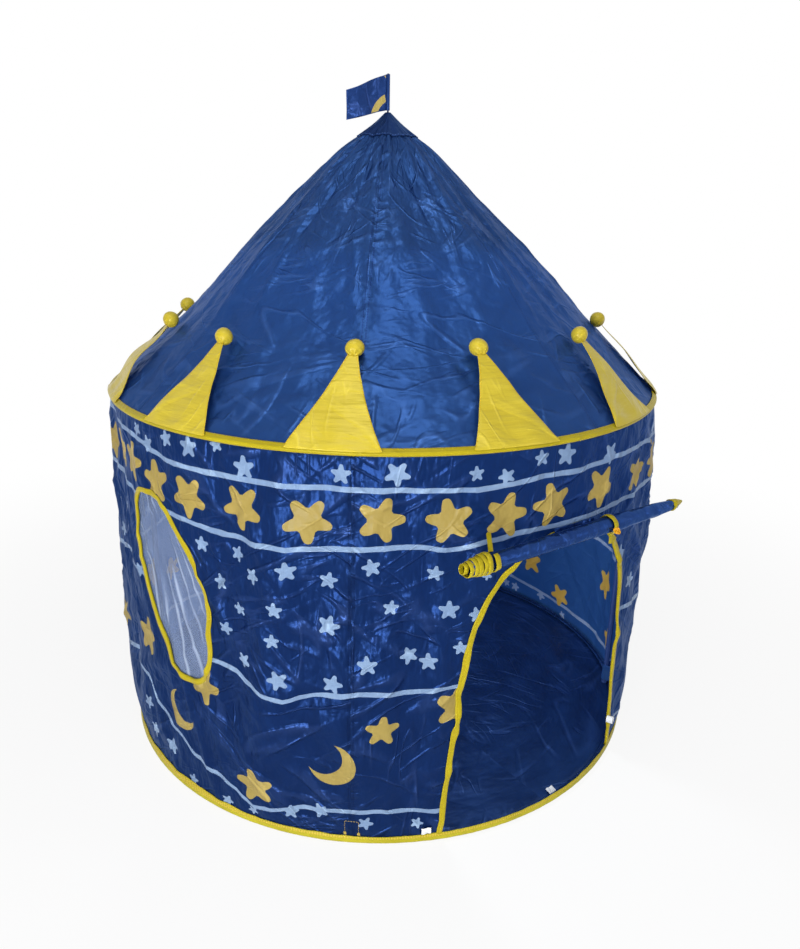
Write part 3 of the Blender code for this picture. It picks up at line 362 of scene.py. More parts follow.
class Wire:
    """A socket of a node tree that can be used in sums, products and comparisons."""

    def __init__(self, tree, socket=None):
        self.tree = tree
        self.socket = socket

    def node(self, kind, settings=None, values=None, output=0):
        """Adds a node: its settings first, then the values or wires of its sockets."""
        made = self.tree.nodes.new(kind)
        for name, value in (settings or {}).items():
            if name == "stops":
                for element, (place, colour) in zip(made.color_ramp.elements, value):
                    element.position = place
                    element.color = (*colour, 1)
            else:
                setattr(made, name, value)
        for name, value in (values or {}).items():
            if isinstance(value, Wire):
                self.tree.links.new(value.socket, made.inputs[name])
            else:
                made.inputs[name].default_value = value
        return Wire(self.tree, made.outputs[output])

    def maths(self, operation, *values):
        return self.node("ShaderNodeMath", {"operation": operation}, dict(enumerate(values)))

    def __add__(self, other):
        return self.maths("ADD", self, other)

    def __mul__(self, other):
        return self.maths("MULTIPLY", self, other)

    def __sub__(self, other):
        return self.maths("SUBTRACT", self, other)

    def __rsub__(self, other):
        return self.maths("SUBTRACT", other, self)

    def __truediv__(self, other):
        return self.maths("DIVIDE", self, other)

    def __mod__(self, other):
        return self.maths("FLOORED_MODULO", self, other)

    def __lt__(self, other):
        return self.maths("LESS_THAN", self, other)

    def __gt__(self, other):
        return self.maths("GREATER_THAN", self, other)

    def __abs__(self):
        return self.maths("ABSOLUTE", self)

    def part(self, axis):
        return self.node("ShaderNodeSeparateXYZ", values={0: self}, output=axis)

    def noise(self, scale, detail=2.0, seed=0.0):
        """Noise from 0 to 1 over these coordinates, scaled along each axis."""
        moved = {"Vector": self, "Scale": scale, "Location": (seed, seed, seed)}
        placed = self.node("ShaderNodeMapping", values=moved)
        return self.node("ShaderNodeTexNoise", values={"Vector": placed, "Scale": 1, "Detail": detail})

    def eased(self, low, high):
        """0 below the low value, 1 above the high one, and smooth between."""
        return self.node(
            "ShaderNodeMapRange",
            {"interpolation_type": "SMOOTHSTEP"},
            {"Value": self, "From Min": low, "From Max": high},
        )

    def creases(self, angle, long, short, seed=0.0, width=0.05):
        """Creases at an angle, of a usual length and distance in metres: 1 on them and 0 off them."""
        turned = {"Vector": self, "Rotation": (0, 0, math.radians(angle))}
        turned |= {"Scale": (long, short, 1), "Location": (seed * long, seed, 0)}
        placed = self.node("ShaderNodeMapping", {"vector_type": "TEXTURE"}, turned)
        wave = {"Vector": placed, "Scale": 1, "Detail": 1.5, "Distortion": 0.5}
        return 1 - abs(self.node("ShaderNodeTexNoise", values=wave) - 0.5).eased(0.0, width)

    def between(self, first, second):
        """The first colour where this is 0 and the second where it is 1."""
        colours = {0: self}
        for socket, colour in ((6, first), (7, second)):
            colours[socket] = colour if isinstance(colour, Wire) else (*colour, 1)
        return self.node("ShaderNodeMix", {"data_type": "RGBA"}, colours, output=2)

    def seen(self):
        """1 for rays that come from the camera, off a gloss or through a cloth, else 0."""
        seen = self.node("ShaderNodeLightPath", output="Is Camera Ray")
        for ray in ("Is Glossy Ray", "Is Transmission Ray"):
            seen = self.maths("MAXIMUM", seen, self.node("ShaderNodeLightPath", output=ray))
        return seen


def blank_finish(name):
    """A new material with its shader and a wire to start from."""
    material = bpy.data.materials.new(name)
    material.use_nodes = True
    tree = material.node_tree
    return material, tree.nodes["Principled BSDF"], Wire(tree)


def feed(shader, socket, wire):
    wire.tree.links.new(wire.socket, shader.inputs[socket])


def set_up(shader, values):
    """Sets the shader's own sockets."""
    for name, value in values.items():
        shader.inputs[name].default_value = value


def bumped(shader, height, distance):
    """Lets a height, in shares of a distance in metres, stand out of a surface."""
    values = {"Height": height, "Distance": distance, "Strength": 1.0}
    feed(shader, "Normal", height.node("ShaderNodeBump", values=values))


def mixed_in(shader, share, other):
    """Puts a share of another shader into a surface."""
    tree = other.tree
    whole = other.node("ShaderNodeMixShader", values={0: share, 1: Wire(tree, shader.outputs[0]), 2: other})
    feed(tree.nodes["Material Output"], "Surface", whole)


def stitch_line(edge, away, pitch=0.0046, half_width=0.0007):
    """A row of stitches at a distance from a piece's edge, as a mask."""
    dash = (edge.part(1) / pitch) % 1
    return (abs(edge.part(0) - away) < half_width) * (dash < 0.64)


def cloth_finish(
    name, colour, shade, roughness, crumple=1.0, crumple_shading=0.6, slub=0.0016, stitches=(), thread=None, through=None,
    lie=(20, 15, 1), gleam=(0.55, 0.74, 1.0), dyed=0.0
):
    """Woven cloth: uneven threads both ways, a web of creases with a painted highlight along them, colour that varies
    with the threads, painted shade in the hollows of its crumples and painted light on their crests, and rows of
    stitches.

    through is the colour of the light that comes through the cloth and its share, lie the scale of its crumples,
    gleam the tint of what it reflects, and dyed the share of its gloss that takes the colour of its threads.
    """
    material, shader, start = blank_finish(name)
    cut = start.node("ShaderNodeUVMap", {"uv_map": "cut"})
    warp = cut.noise((1 / slub, 1 / (slub * 22), 1), 2, 4)
    weft = cut.noise((1 / (slub * 22), 1 / slub, 1), 2, 9)
    soft = cut.noise(lie, 3, 2)
    here, there = cut.noise((7, 6, 1), 2, 12), cut.noise((9, 8, 1), 2, 31)
    wide = cut.creases(32, 0.24, 0.060, 3) * here.eased(0.42, 0.60)
    wide = wide + cut.creases(-38, 0.20, 0.055, 8) * (1 - here).eased(0.46, 0.62)
    fine = cut.creases(12, 0.10, 0.026, 5, 0.07) * there.eased(0.50, 0.66)
    fine = fine + cut.creases(84, 0.16, 0.034, 6, 0.06) * (1 - there).eased(0.50, 0.66)
    # Colour: uneven with the threads, with painted shade in the hollows of the soft crumples and painted light on their
    # crests
    tint = (soft - 0.5) * (1.5 * crumple_shading) + ((warp + weft) * 0.16 + 0.36)
    # Painted highlight: the colour turns lighter along the creases
    crease_highlight = ((wide + fine) * min(0.30 * crumple, 0.55)).eased(0.0, 1.0)
    tint = crease_highlight.between(tint.eased(0.0, 1.0).between(shade, colour), [part * 1.35 + 0.012 for part in colour])
    height = soft * (crumple * 5) + wide * (crumple * 0.9) + fine * (crumple * 0.5) + (warp + weft) * 0.06
    gloss = soft * 0.14 + (roughness - 0.07)
    if stitches:
        edge = start.node("ShaderNodeUVMap", {"uv_map": "edge"})
        rows = [stitch_line(edge, away) for away in stitches]
        mask = rows[0]
        for row in rows[1:]:
            mask = mask + row
        tint = mask.between(tint, thread)
        height = height + mask * 0.35
    feed(shader, "Base Color", tint)
    feed(shader, "Roughness", gloss)
    bumped(shader, height, 0.0012)
    set_up(shader, {"IOR": 1.34, "Specular IOR Level": 0.5, "Specular Tint": (*gleam, 1), "Metallic": dyed})
    if through:
        light, share = through
        mixed_in(shader, share, start.node("ShaderNodeBsdfTranslucent", values={"Color": (*light, 1)}))
    return material


def net_finish(name, colour, shade):
    """Fine knitted net: closer where it folds, so that less shows through it there."""
    material, shader, start = blank_finish(name)
    cut = start.node("ShaderNodeUVMap", {"uv_map": "cut"})
    x, y = cut.part(0), cut.part(1)
    turned = (x * 0.966 + y * 0.30) * (y * 2 + 1) + cut.noise((9, 3, 1), 2, 3) * 0.018
    pleat = (abs((turned / 0.027) % 1 - 0.5) * 2).eased(0.66, 1.0) * cut.noise((20, 6, 1), 2, 6).eased(0.35, 0.6)
    holes = (((x + y) / 0.0023) % 1 > 0.5) * (((x - y) / 0.0023) % 1 > 0.5)
    cloudy = cut.noise((16, 9, 1), 3, 8)
    feed(shader, "Base Color", (pleat * 0.7 + cloudy * 0.3).between(shade, colour))
    feed(shader, "Alpha", (pleat * 0.20 + cloudy * 0.14 + 0.36) - holes * 0.12)
    feed(shader, "Roughness", cloudy * 0.15 + 0.5)
    bumped(shader, pleat * 0.6 + cut.noise((300, 300, 1), 1) * 0.3, 0.0008)
    set_up(shader, {"Specular IOR Level": 0.4})
    return material


def moulded_finish(name, colour, shade, roughness, grain=900.0):
    """Moulded plastic: fine grain, faint flow marks and soft wear."""
    material, shader, start = blank_finish(name)
    where = start.node("ShaderNodeTexCoord", output="Object")
    flow = where.noise((60, 60, 9), 3, 5)
    pits = where.noise((grain, grain, grain), 2, 1)
    feed(shader, "Base Color", flow.eased(0.35, 0.7).between(shade, colour))
    feed(shader, "Roughness", pits * 0.12 + (roughness - 0.06))
    bumped(shader, pits * 0.5 + flow * 0.4, 0.00025)
    return material


def steel_finish(name):
    """Hardened spring wire: bright, with drawing marks along it and dull patches."""
    material, shader, start = blank_finish(name)
    where = start.node("ShaderNodeTexCoord", output="Object")
    patches = where.noise((30, 30, 30), 3, 5)
    marks = where.noise((1200, 1200, 60), 2, 2)
    feed(shader, "Base Color", patches.between((0.42, 0.43, 0.46), (0.62, 0.63, 0.66)))
    feed(shader, "Roughness", patches * 0.2 + 0.2)
    bumped(shader, marks, 0.00008)
    set_up(shader, {"Metallic": 1.0})
    return material


def add_piece(name, points, faces, finishes, maps=None, slots=None):
    """A smooth piece of mesh with its finishes; maps are a name and a place in metres for each corner of each face."""
    mesh = bpy.data.meshes.new(name)
    mesh.from_pydata([tuple(point) for point in points], [], faces)
    for material in finishes:
        mesh.materials.append(material)
    for title, corners in (maps or {}).items():
        layer = mesh.uv_layers.new(name=title)
        layer.data.foreach_set("uv", [part for corner in corners for part in corner])
    if slots:
        mesh.polygons.foreach_set("material_index", slots)
    mesh.shade_smooth()
    mesh.update()
    piece = bpy.data.objects.new(name, mesh)
    bpy.context.scene.collection.objects.link(piece)
    return piece


def skin(name, rows, finishes, ring=False, loop=False, edges=None):
    """A piece skinned over rows of points, with its cut in metres.

    ring joins the last point of a row to its first, loop joins the last row to the first, and edges gives
    each point's distance from a sewn edge and its place along it.
    """
    count = len(rows[0])
    across, down = [0.0], [0.0]
    for j in range(count):
        step = sum((row[(j + 1) % count] - row[j]).length for row in rows) / len(rows)
        across.append(across[-1] + step)
    for i in range(len(rows)):
        following = rows[(i + 1) % len(rows)]
        down.append(down[-1] + sum((b - a).length for a, b in zip(rows[i], following)) / count)
    faces, cut, sewn = [], [], []
    for i in range(len(rows) if loop else len(rows) - 1):
        for j in range(count if ring else count - 1):
            corners = ((i, j), (i, j + 1), (i + 1, j + 1), (i + 1, j))
            faces.append([(a % len(rows)) * count + b % count for a, b in corners])
            cut += [(across[b], down[a]) for a, b in corners]
            if edges:
                sewn += [edges(a, b) for a, b in corners]
    maps = {"cut": cut}
    if edges:
        maps["edge"] = sewn
    return add_piece(name, [point for row in rows for point in row], faces, finishes, maps)


def turned_out(piece, rings=()):
    """Fills the rings of points that are given, and turns all faces outwards."""
    bm = bmesh.new()
    bm.from_mesh(piece.data)
    bm.verts.ensure_lookup_table()
    for ring in rings:
        bm.faces.new([bm.verts[i] for i in ring])
    bmesh.ops.recalc_face_normals(bm, faces=bm.faces)
    bm.to_mesh(piece.data)
    bm.free()


def closed_ends(piece, rows, ring_size):
    """Fills the two ends of a piece that is skinned over closed rings."""
    turned_out(piece, [range(first, first + ring_size) for first in (0, (rows - 1) * ring_size)])


def thicken(piece, thickness, reverse=0):
    """Gives cloth its thickness, and its own finishes on the back."""
    solidify = piece.modifiers.new("cloth thickness", "SOLIDIFY")
    solidify.thickness = thickness
    solidify.offset = 0
    solidify.material_offset = reverse
    solidify.material_offset_rim = 0
    # The narrow rims don't bend the shading of the cloth beside them
    piece.modifiers.new("cloth shading", "WEIGHTED_NORMAL")


def rounder(piece):
    """Rounds a piece by subdivision."""
    modifier = piece.modifiers.new("rounding", "SUBSURF")
    modifier.levels = modifier.render_levels = 1


def softened(points, times=2, cut=0.22):
    """An outline with its corners cut off."""
    for _ in range(times):
        cut_points = []
        for i, here in enumerate(points):
            following = points[(i + 1) % len(points)]
            cut_points.append(tuple(mix(a, b, cut) for a, b in zip(here, following)))
            cut_points.append(tuple(mix(b, a, cut) for a, b in zip(here, following)))
        points = cut_points
    return points


def on_flat(azimuth, height, outline):
    """Outline moved to its place on the cloth laid flat."""
    return [(along_hoop(azimuth) + x, height + y) for x, y in outline]


def star(azimuth, height, size, turn=0.0):
    """Outline of a star with five plump arms."""
    points = []
    for arm in range(5):
        for away, reach in ((-15, 0.82), (-8, 0.97), (0, 1.0), (8, 0.97), (15, 0.82), (36, 0.50)):
            angle = math.radians(turn + 72 * arm + away)
            points.append((reach * math.sin(angle), reach * math.cos(angle)))
    points = softened(points, 1)
    reach = max(math.hypot(x, y) for x, y in points)
    return on_flat(azimuth, height, [(x * size / reach, y * size / reach) for x, y in points])


def crescent(azimuth, height, size, turn):
    """Outline of a crescent that is open towards a direction, clockwise from up."""
    inner, shift = size * 0.85, size * 0.5
    meet = (shift**2 + size**2 - inner**2) / (2 * shift)
    outer_half = math.pi - math.acos(meet / size)
    inner_half = math.pi - math.acos((meet - shift) / inner)
    points = []
    for i in range(29):
        angle = mix(-outer_half, outer_half, i / 28)
        points.append((-size * math.cos(angle), -size * math.sin(angle)))
    for i in range(1, 24):
        angle = mix(inner_half, -inner_half, i / 24)
        points.append((shift - inner * math.cos(angle), -inner * math.sin(angle)))
    facing = math.radians(turn)
    ahead, aside = (math.sin(facing), math.cos(facing)), (math.cos(facing), -math.sin(facing))
    turned = [(x * ahead[0] + y * aside[0], x * ahead[1] + y * aside[1]) for x, y in points]
    return on_flat(azimuth, height, turned)


def stripe(keys, start, end, half_width):
    """Outline of a stretch of stripe, a little uneven in width."""
    over, under = [], []
    steps = round((end - start) / 1.25)
    for i in range(steps + 1):
        azimuth = mix(start, end, i / steps)
        turned = (azimuth + 130) % 360 - 130
        middle = between(keys, turned)
        half = half_width * (1 + 0.16 * rumple(turned, middle, 0.03, 1, 5))
        over.append((along_hoop(azimuth), middle + half))
        under.append((along_hoop(azimuth), middle - half))
    return over + under[::-1]


def scattered_print():
    """Stars and crescents round the part of the wall that the front view doesn't show, evenly scattered."""
    chance = random.Random(11)
    gold = [(43 + 11 * i, mix(0.578, 0.590, chance.random()), 0.036, chance.uniform(-36, 36)) for i in range(20)]
    pale = [
        (46 + 6.4 * i, chance.uniform(0.646, 0.664), chance.uniform(0.012, 0.018), chance.uniform(0, 72))
        for i in range(33)
    ]
    taken = []
    for _ in range(4000):
        azimuth = chance.uniform(38, 264)
        low, high = between(STRIPES[2], (azimuth + 130) % 360 - 130) + 0.03, 0.51
        height = chance.uniform(low, high)
        here = (along_hoop(azimuth), height)
        if len(taken) < 80 and all(math.dist(here, there) > 0.052 for there in taken):
            taken.append(here)
            pale.append((azimuth, height, chance.uniform(0.011, 0.017), chance.uniform(0, 72)))
    for i in range(14):
        azimuth = 108 + 11 * i
        if all(abs(azimuth - moon[0]) > 9 for moon in CRESCENTS):
            height = chance.uniform(0.12, 0.24)
            gold.append((azimuth, height, chance.uniform(0.028, 0.037), chance.uniform(0, 72)))
    pale += [(104 + 8 * i, 0.028, 0.011, chance.uniform(0, 72)) for i in range(19)]
    return gold, pale


def wall_print():
    """Outlines of the stars and crescents, each with the ink that it is printed in: 1 is pale and 2 is gold."""
    chance = random.Random(5)
    gold, pale = scattered_print()
    gold += [(azimuth, height, 0.036, turn) for azimuth, height, turn in GOLD_ROW]
    gold += GOLD_BELOW
    for azimuth, height, width in PALE_TOP + PALE_MIDDLE + PALE_BELOW:
        pale.append((azimuth, height, width * 0.54, chance.uniform(0, 72)))
    marks = [(1, star(*place)) for place in pale] + [(2, star(*place)) for place in gold]
    return marks + [(2, crescent(*moon)) for moon in CRESCENTS]


def anticlockwise(outline):
    """The outline, turned round if it runs clockwise."""
    twice = sum(a[0] * b[1] - b[0] * a[1] for a, b in zip(outline, outline[1:] + outline[:1]))
    return outline if twice > 0 else outline[::-1]


def cut_cloth(name, outline, hole, marks, lift, finishes, pitch, to_edge):
    """Cloth that is cut and printed flat, then lifted to where it hangs.

    marks are an ink and an outline each, lift gives a flat point its place, and to_edge its sewn edge.
    """
    points, loops = [], []
    outside = [(-9, -9), (-9, -9.1), (-9.1, -9)]
    for loop in [outline, hole or outside] + [mark for _, mark in marks]:
        loops.append(list(range(len(points), len(points) + len(loop))))
        points += [Vector(point) for point in anticlockwise(loop)]
    tree = kdtree.KDTree(len(points))
    for i, point in enumerate(points):
        tree.insert((*point, 0), i)
    tree.balance()
    low = [min(point[i] for point in outline) for i in range(2)]
    high = [max(point[i] for point in outline) for i in range(2)]
    columns, rows = (round((b - a) / pitch) for a, b in zip(low, high))
    for i in range(1, columns):
        for j in range(1, rows):
            here = Vector((mix(low[0], high[0], i / columns), mix(low[1], high[1], j / rows)))
            if tree.find((*here, 0))[2] > pitch * 0.45:
                points.append(here)
    spots, _, triangles, _, _, owners = geometry.delaunay_2d_cdt(points, [], loops, 0, 1e-5)
    faces, slots = [], []
    for triangle, owner in zip(triangles, owners):
        if 0 in owner and 1 not in owner:
            faces.append(list(triangle))
            slots.append(max([marks[i - 2][0] for i in owner if i > 1], default=0))
    used = sorted({corner for face in faces for corner in face})
    places = {corner: i for i, corner in enumerate(used)}
    flat = [spots[corner] for corner in used]
    faces = [[places[corner] for corner in face] for face in faces]
    maps = {
        "cut": [tuple(flat[corner]) for face in faces for corner in face],
        "edge": [to_edge(*flat[corner]) for face in faces for corner in face],
    }
    return add_piece(name, [lift(*point) for point in flat], faces, finishes, maps, slots)


def spaced(start, end, pitch):
    """Points from a start up to an end, the end left out."""
    count = max(1, round(math.dist(start, end) / pitch))
    return [tuple(mix(a, b, i / count) for a, b in zip(start, end)) for i in range(count)]


def colour_property(title, purpose, red, green, blue):
    return bpy.props.FloatVectorProperty(
        name=title, description=purpose, subtype="COLOR", size=3, min=0, max=1, default=paint(red, green, blue)
    )


def number_property(title, purpose, default, low=0, **kind):
    return bpy.props.FloatProperty(name=title, description=purpose, min=low, default=default, **kind)


def length_property(title, purpose, default):
    return number_property(title, purpose, default, subtype="DISTANCE", unit="LENGTH")


class TentColours(bpy.types.PropertyGroup):
    """Colours of the tent's cloths and tapes."""

    wall_blue: colour_property("Wall blue", "Dyed ground of the printed wall", 22, 47, 94)
    wall_shade: colour_property("Wall shade", "Wall blue in its crumples", 12, 31, 70)
    gold_print: colour_property("Gold print", "Ink of the big stars and crescents", 178, 159, 88)
    gold_shade: colour_property("Gold shade", "Gold ink in the crumples", 152, 135, 70)
    pale_print: colour_property("Pale print", "Ink of the small stars and the stripes", 150, 175, 203)
    pale_shade: colour_property("Pale shade", "Pale ink in the crumples", 110, 136, 176)
    roof_blue: colour_property("Roof blue", "Plain cloth of the roof and the flag", 43, 79, 134)
    roof_shade: colour_property("Roof shade", "Roof blue in its crumples", 29, 57, 104)
    # Darker than the roof blue: painted shade of the pleats at the apex
    cap_shaded_blue: colour_property("Cap blue", "Second layer at the apex", 24, 47, 94)
    floor_blue: colour_property("Ground sheet blue", "Coated cloth of the floor", 33, 64, 118)
    flap_blue: colour_property("Flap blue", "Rolled door flap", 34, 66, 128)
    tape_yellow: colour_property("Tape yellow", "Binding tapes and ties", 184, 168, 32)
    tape_shade: colour_property("Tape shade", "Binding tape in its puckers", 154, 138, 14)
    satin_yellow: colour_property("Satin yellow", "Padded crown points", 203, 186, 64)
    satin_shade: colour_property("Satin shade", "Satin in its gathers", 184, 160, 28)
    net_white: colour_property("Net white", "Knitted net of the window", 184, 198, 222)
    net_shade: colour_property("Net shade", "Net between its folds", 116, 136, 176)
    tab_white: colour_property("Tab white", "Bare sewn tabs", 236, 238, 240)


class TentSizes(bpy.types.PropertyGroup):
    """Sizes of the tent's print, trims and padding."""

    stripe_width: length_property("Stripe width", "Width of the pale stripes", 0.0084)
    cloth_pitch: length_property("Cloth pitch", "Distance between the points of the printed cloth", 0.0075)
    puff: length_property("Puff", "How far the padding of a crown point may swell", 0.0042)
    tab_width: length_property("Tab width", "Width of the bare white tabs", 0.016)
    stitch_pitch: length_property("Stitch pitch", "Length of one stitch at the foot pockets", 0.0042)


class TentStage(bpy.types.PropertyGroup):
    """Light and camera."""

    sky_strength: number_property("Sky strength", "Even light from all round", 0.25)
    key_power: number_property("Key power", "Power of the lamp left of the camera", 38, subtype="POWER")
    overhead_power: number_property("Overhead power", "Power of the lamp over the roof", 30, subtype="POWER")
    fill_power: number_property("Fill power", "Power of the soft lamp at the right", 9, subtype="POWER")
    glow_power: number_property("Glow power", "Power of the light that comes through the roof", 4.4, subtype="POWER")
    focal_length: number_property("Focal length", "Lens of the camera", 30.37, low=1, unit="CAMERA")


FINISHES = {}


def finish(name):
    """A finish of the tent, made when it is first asked for."""
    if name not in FINISHES:
        c = bpy.context.scene.tent_colours
        sky, dim, gold_thread = paint(100, 152, 214), paint(160, 182, 215), paint(196, 170, 60)
        blue_gleam, yellow_gleam = (0.42, 0.60, 0.95), (1, 0.88, 0.45)
        makers = {
            "wall": lambda: cloth_finish(
                "printed wall cloth", c.wall_blue, c.wall_shade, 0.36, 2.6, 0.4, stitches=(0.004,),
                thread=c.wall_shade, through=(sky, 0.24), lie=(24, 11, 1), gleam=blue_gleam, dyed=0.68
            ),
            "wall pale": lambda: cloth_finish(
                "pale print", c.pale_print, c.pale_shade, 0.42, 2.4, 0.4, through=(dim, 0.25)
            ),
            "wall gold": lambda: cloth_finish(
                "gold print", c.gold_print, c.gold_shade, 0.42, 2.4, 0.4, through=(paint(230, 196, 100), 0.25)
            ),
            # The reverse finishes are painted lighter than the face of the cloth: painted light that comes through it,
            # besides their real translucent share
            "wall back": lambda: cloth_finish(
                "wall cloth reverse painted lit through", paint(64, 108, 166), paint(52, 94, 150), 0.5, through=(sky, 0.6)
            ),
            "wall pale back": lambda: cloth_finish(
                "pale print reverse painted lit through", paint(206, 222, 238), paint(180, 202, 226), 0.5, through=(dim, 0.6)
            ),
            "wall gold back": lambda: cloth_finish(
                "gold print reverse painted lit through", paint(236, 208, 116), paint(210, 184, 100), 0.5,
                through=(paint(244, 220, 140), 0.6)
            ),
            "roof": lambda: cloth_finish(
                "roof cloth", c.roof_blue, c.roof_shade, 0.38, 2.1, 0.4, stitches=(0.003,),
                thread=paint(30, 52, 104), through=(sky, 0.30), gleam=blue_gleam, dyed=0.6
            ),
            "roof back": lambda: cloth_finish(
                "roof cloth reverse painted lit through", paint(52, 98, 168), paint(42, 84, 150), 0.5, through=(sky, 0.6)
            ),
            # The apex cap is painted darker than the roof: painted shade of its pleats
            "cap": lambda: cloth_finish(
                "apex cap cloth", c.cap_shaded_blue, paint(14, 31, 68), 0.38, stitches=(0.0035,),
                thread=paint(70, 100, 160), gleam=blue_gleam, dyed=0.7
            ),
            "floor": lambda: cloth_finish("coated ground sheet", c.floor_blue, paint(20, 38, 76), 0.42, 1.4, dyed=0.3),
            "flap": lambda: cloth_finish(
                "door flap cloth", c.flap_blue, paint(20, 42, 92), 0.28, 1.6, gleam=blue_gleam, dyed=0.7
            ),
            "flag": lambda: cloth_finish("flag cloth", paint(26, 54, 112), paint(18, 42, 92), 0.38, 1.6, dyed=0.4),
            "flag gold": lambda: cloth_finish("flag print", c.gold_print, c.gold_shade, 0.42),
            "tape": lambda: cloth_finish(
                "binding tape", c.tape_yellow, c.tape_shade, 0.42, 0.5, 0.5, 0.0011, (0.0028,), paint(176, 152, 20),
                gleam=yellow_gleam
            ),
            "base tape": lambda: cloth_finish(
                "base binding tape", paint(186, 176, 46), paint(152, 142, 28), 0.46, 0.5, 0.7, 0.0011, (0.0032,),
                gold_thread, gleam=yellow_gleam
            ),
            "satin": lambda: cloth_finish(
                "stuffed satin", c.satin_yellow, c.satin_shade, 0.30, 0.9, 0.3, 0.0010, (0.0022,),
                paint(205, 172, 20), lie=(7, 44, 1), gleam=(1, 0.92, 0.6)
            ),
            "net": lambda: net_finish("window net", c.net_white, c.net_shade),
            "thread": lambda: cloth_finish("sewing thread", gold_thread, paint(150, 132, 70), 0.6, slub=0.0006),
            "tab": lambda: cloth_finish("white tab", c.tab_white, paint(208, 212, 218), 0.5, 0.4, slub=0.0009),
            "knot": lambda: cloth_finish("knotted tape", paint(232, 170, 26), paint(196, 132, 16), 0.45),
            "pole": lambda: moulded_finish("sleeved pole", paint(40, 66, 122), paint(30, 52, 100), 0.45),
            "fitting": lambda: moulded_finish("fitting plastic", paint(46, 60, 92), paint(36, 48, 78), 0.45),
            "steel": lambda: steel_finish("spring steel"),
        }
        FINISHES[name] = makers[name]()
    return FINISHES[name]


class TENT_OT_ground_sheet(bpy.types.Operator):
    """Lays the coated ground sheet with its double hem"""

    bl_idname = "tent.ground_sheet"
    bl_label = "Ground sheet"

    def execute(self, context):
        edge, hem = 0.5178, 0.4825
        radii = [0.002] + [hem * i / 34 for i in range(1, 35)] + [0.4845, 0.500, edge]

        def rise(azimuth, radius):
            loose = 1 - smooth((radius - 0.40) / 0.08)
            x, y = at(azimuth, radius, 0)[:2]
            ripple = 0.0018 * abs(noise.noise(Vector((x / 0.09, y / 0.12, 2))))
            ripple += 0.0012 * abs(noise.noise(Vector((x / 0.03, y / 0.05, 5))))
            crease = math.exp(-(((x * 0.62 + y * 0.78 + 0.27) / 0.010) ** 2)) + math.exp(-(((x - 0.10) / 0.009) ** 2))
            return loose * (ripple + 0.0022 * crease)

        rows = []
        for azimuth in range(0, 360, 3):
            row = [at(azimuth, radius, rise(azimuth, radius) * 0.5) for radius in radii]
            for radius in reversed(radii):
                thick = 0.0012 if radius < hem else 0.0020
                row.append(at(azimuth, radius, rise(azimuth, radius) + thick))
            rows.append(row)
        sheet = skin("ground_sheet_cloth", rows, [finish("floor")], ring=True, loop=True)
        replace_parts(sheet, "ground_sheet")
        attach(sheet, "tent")
        return {"FINISHED"}


class TENT_OT_walls(bpy.types.Operator):
    """Cuts, prints and hangs the four wall panels"""

    bl_idname = "tent.walls"
    bl_label = "Wall panels"

    def execute(self, context):
        sizes = context.scene.tent_sizes
        inks = ("wall", "wall pale", "wall gold")
        finishes = [finish(ink) for ink in inks] + [finish(ink + " back") for ink in inks]
        whole_print = wall_print()
        for name, start in zip(("wall_front", "wall_right", "wall_back", "wall_left"), POLES):
            first, last = along_hoop(start), along_hoop(start + 90)
            notch, hole, area = [], None, 0.5460
            if name == "wall_front":
                notch = [(along_hoop(seen_from(0, x, z)), z) for (x, z), _ in door_outline()]
                area = 0.3640
            if name == "wall_left":
                hole = [(along_hoop(seen_from(WINDOW_AZIMUTH + 360, x, z)), z) for (x, z), _ in window_outline()]
                area = 0.5025
            corners = [(first, WALL_BOTTOM), *notch[:1], *notch[-1:], (last, WALL_BOTTOM)]
            corners += [(last, WALL_TOP), (first, WALL_TOP)]
            outline = []
            for i, corner in enumerate(corners):
                if notch and i == 1:
                    outline += notch[:-1]
                else:
                    outline += spaced(corner, corners[(i + 1) % len(corners)], 0.005)
            marks = []
            for ink, mark in whole_print:
                for shift in (0, math.tau * HOOP_RADIUS):
                    moved = [(x + shift, y) for x, y in mark]
                    if max(moved)[0] > first and min(moved)[0] < last:
                        marks.append((ink, moved))
            marks += [(1, stripe(keys, start - 1, start + 91, sizes.stripe_width / 2)) for keys in STRIPES]

            def lift(x, y):
                return on_wall(math.degrees(x / HOOP_RADIUS), y)

            def to_edge(x, y, first=first, last=last):
                return min(x - first, last - x), y

            panel = cut_cloth(name + "_cloth", outline, hole, marks, lift, finishes, sizes.cloth_pitch, to_edge)
            thicken(panel, WALL_CLOTH, 3)
            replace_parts(panel, name)
            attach(panel, "tent")
        return {"FINISHED"}


def folded_tape(name, stations, facing, closed):
    """Tape folded over the edge of an opening and sewn down on both faces of the cloth."""
    section = list(TAPE_OUTSIDE) + [(lap, -out) for lap, out in reversed(TAPE_OUTSIDE[:-1])]
    section += [(lap, -out) for lap, out in TAPE_INSIDE[:-1]] + list(reversed(TAPE_INSIDE))

    def place(i, j):
        (x, z), into = stations[i]
        pucker = 1 + 0.10 * noise.noise(Vector((i * 0.37, 3, 8))) + 0.05 * noise.noise(Vector((i * 1.3, 9, 1)))
        lap, out = section[j][0] * pucker, section[j][1] * pucker
        height = max(z + into[1] * lap, WALL_BOTTOM - 0.0015)
        return on_wall(seen_from(facing, x + into[0] * lap, height), height, out)

    lengths = [0.0]
    for a, b in zip(stations, stations[1:] + stations[:1]):
        lengths.append(lengths[-1] + math.dist(a[0], b[0]))

    def sewn(a, b):
        return abs(TAPE_OUTSIDE[0][0] - section[b % len(section)][0]), lengths[a]

    rows = grid(len(stations), len(section), place)
    tape = skin(name, rows, [finish("tape")], ring=True, loop=closed, edges=sewn)
    if not closed:
        closed_ends(tape, len(rows), len(section))
    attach(tape, "tent")
    return tape


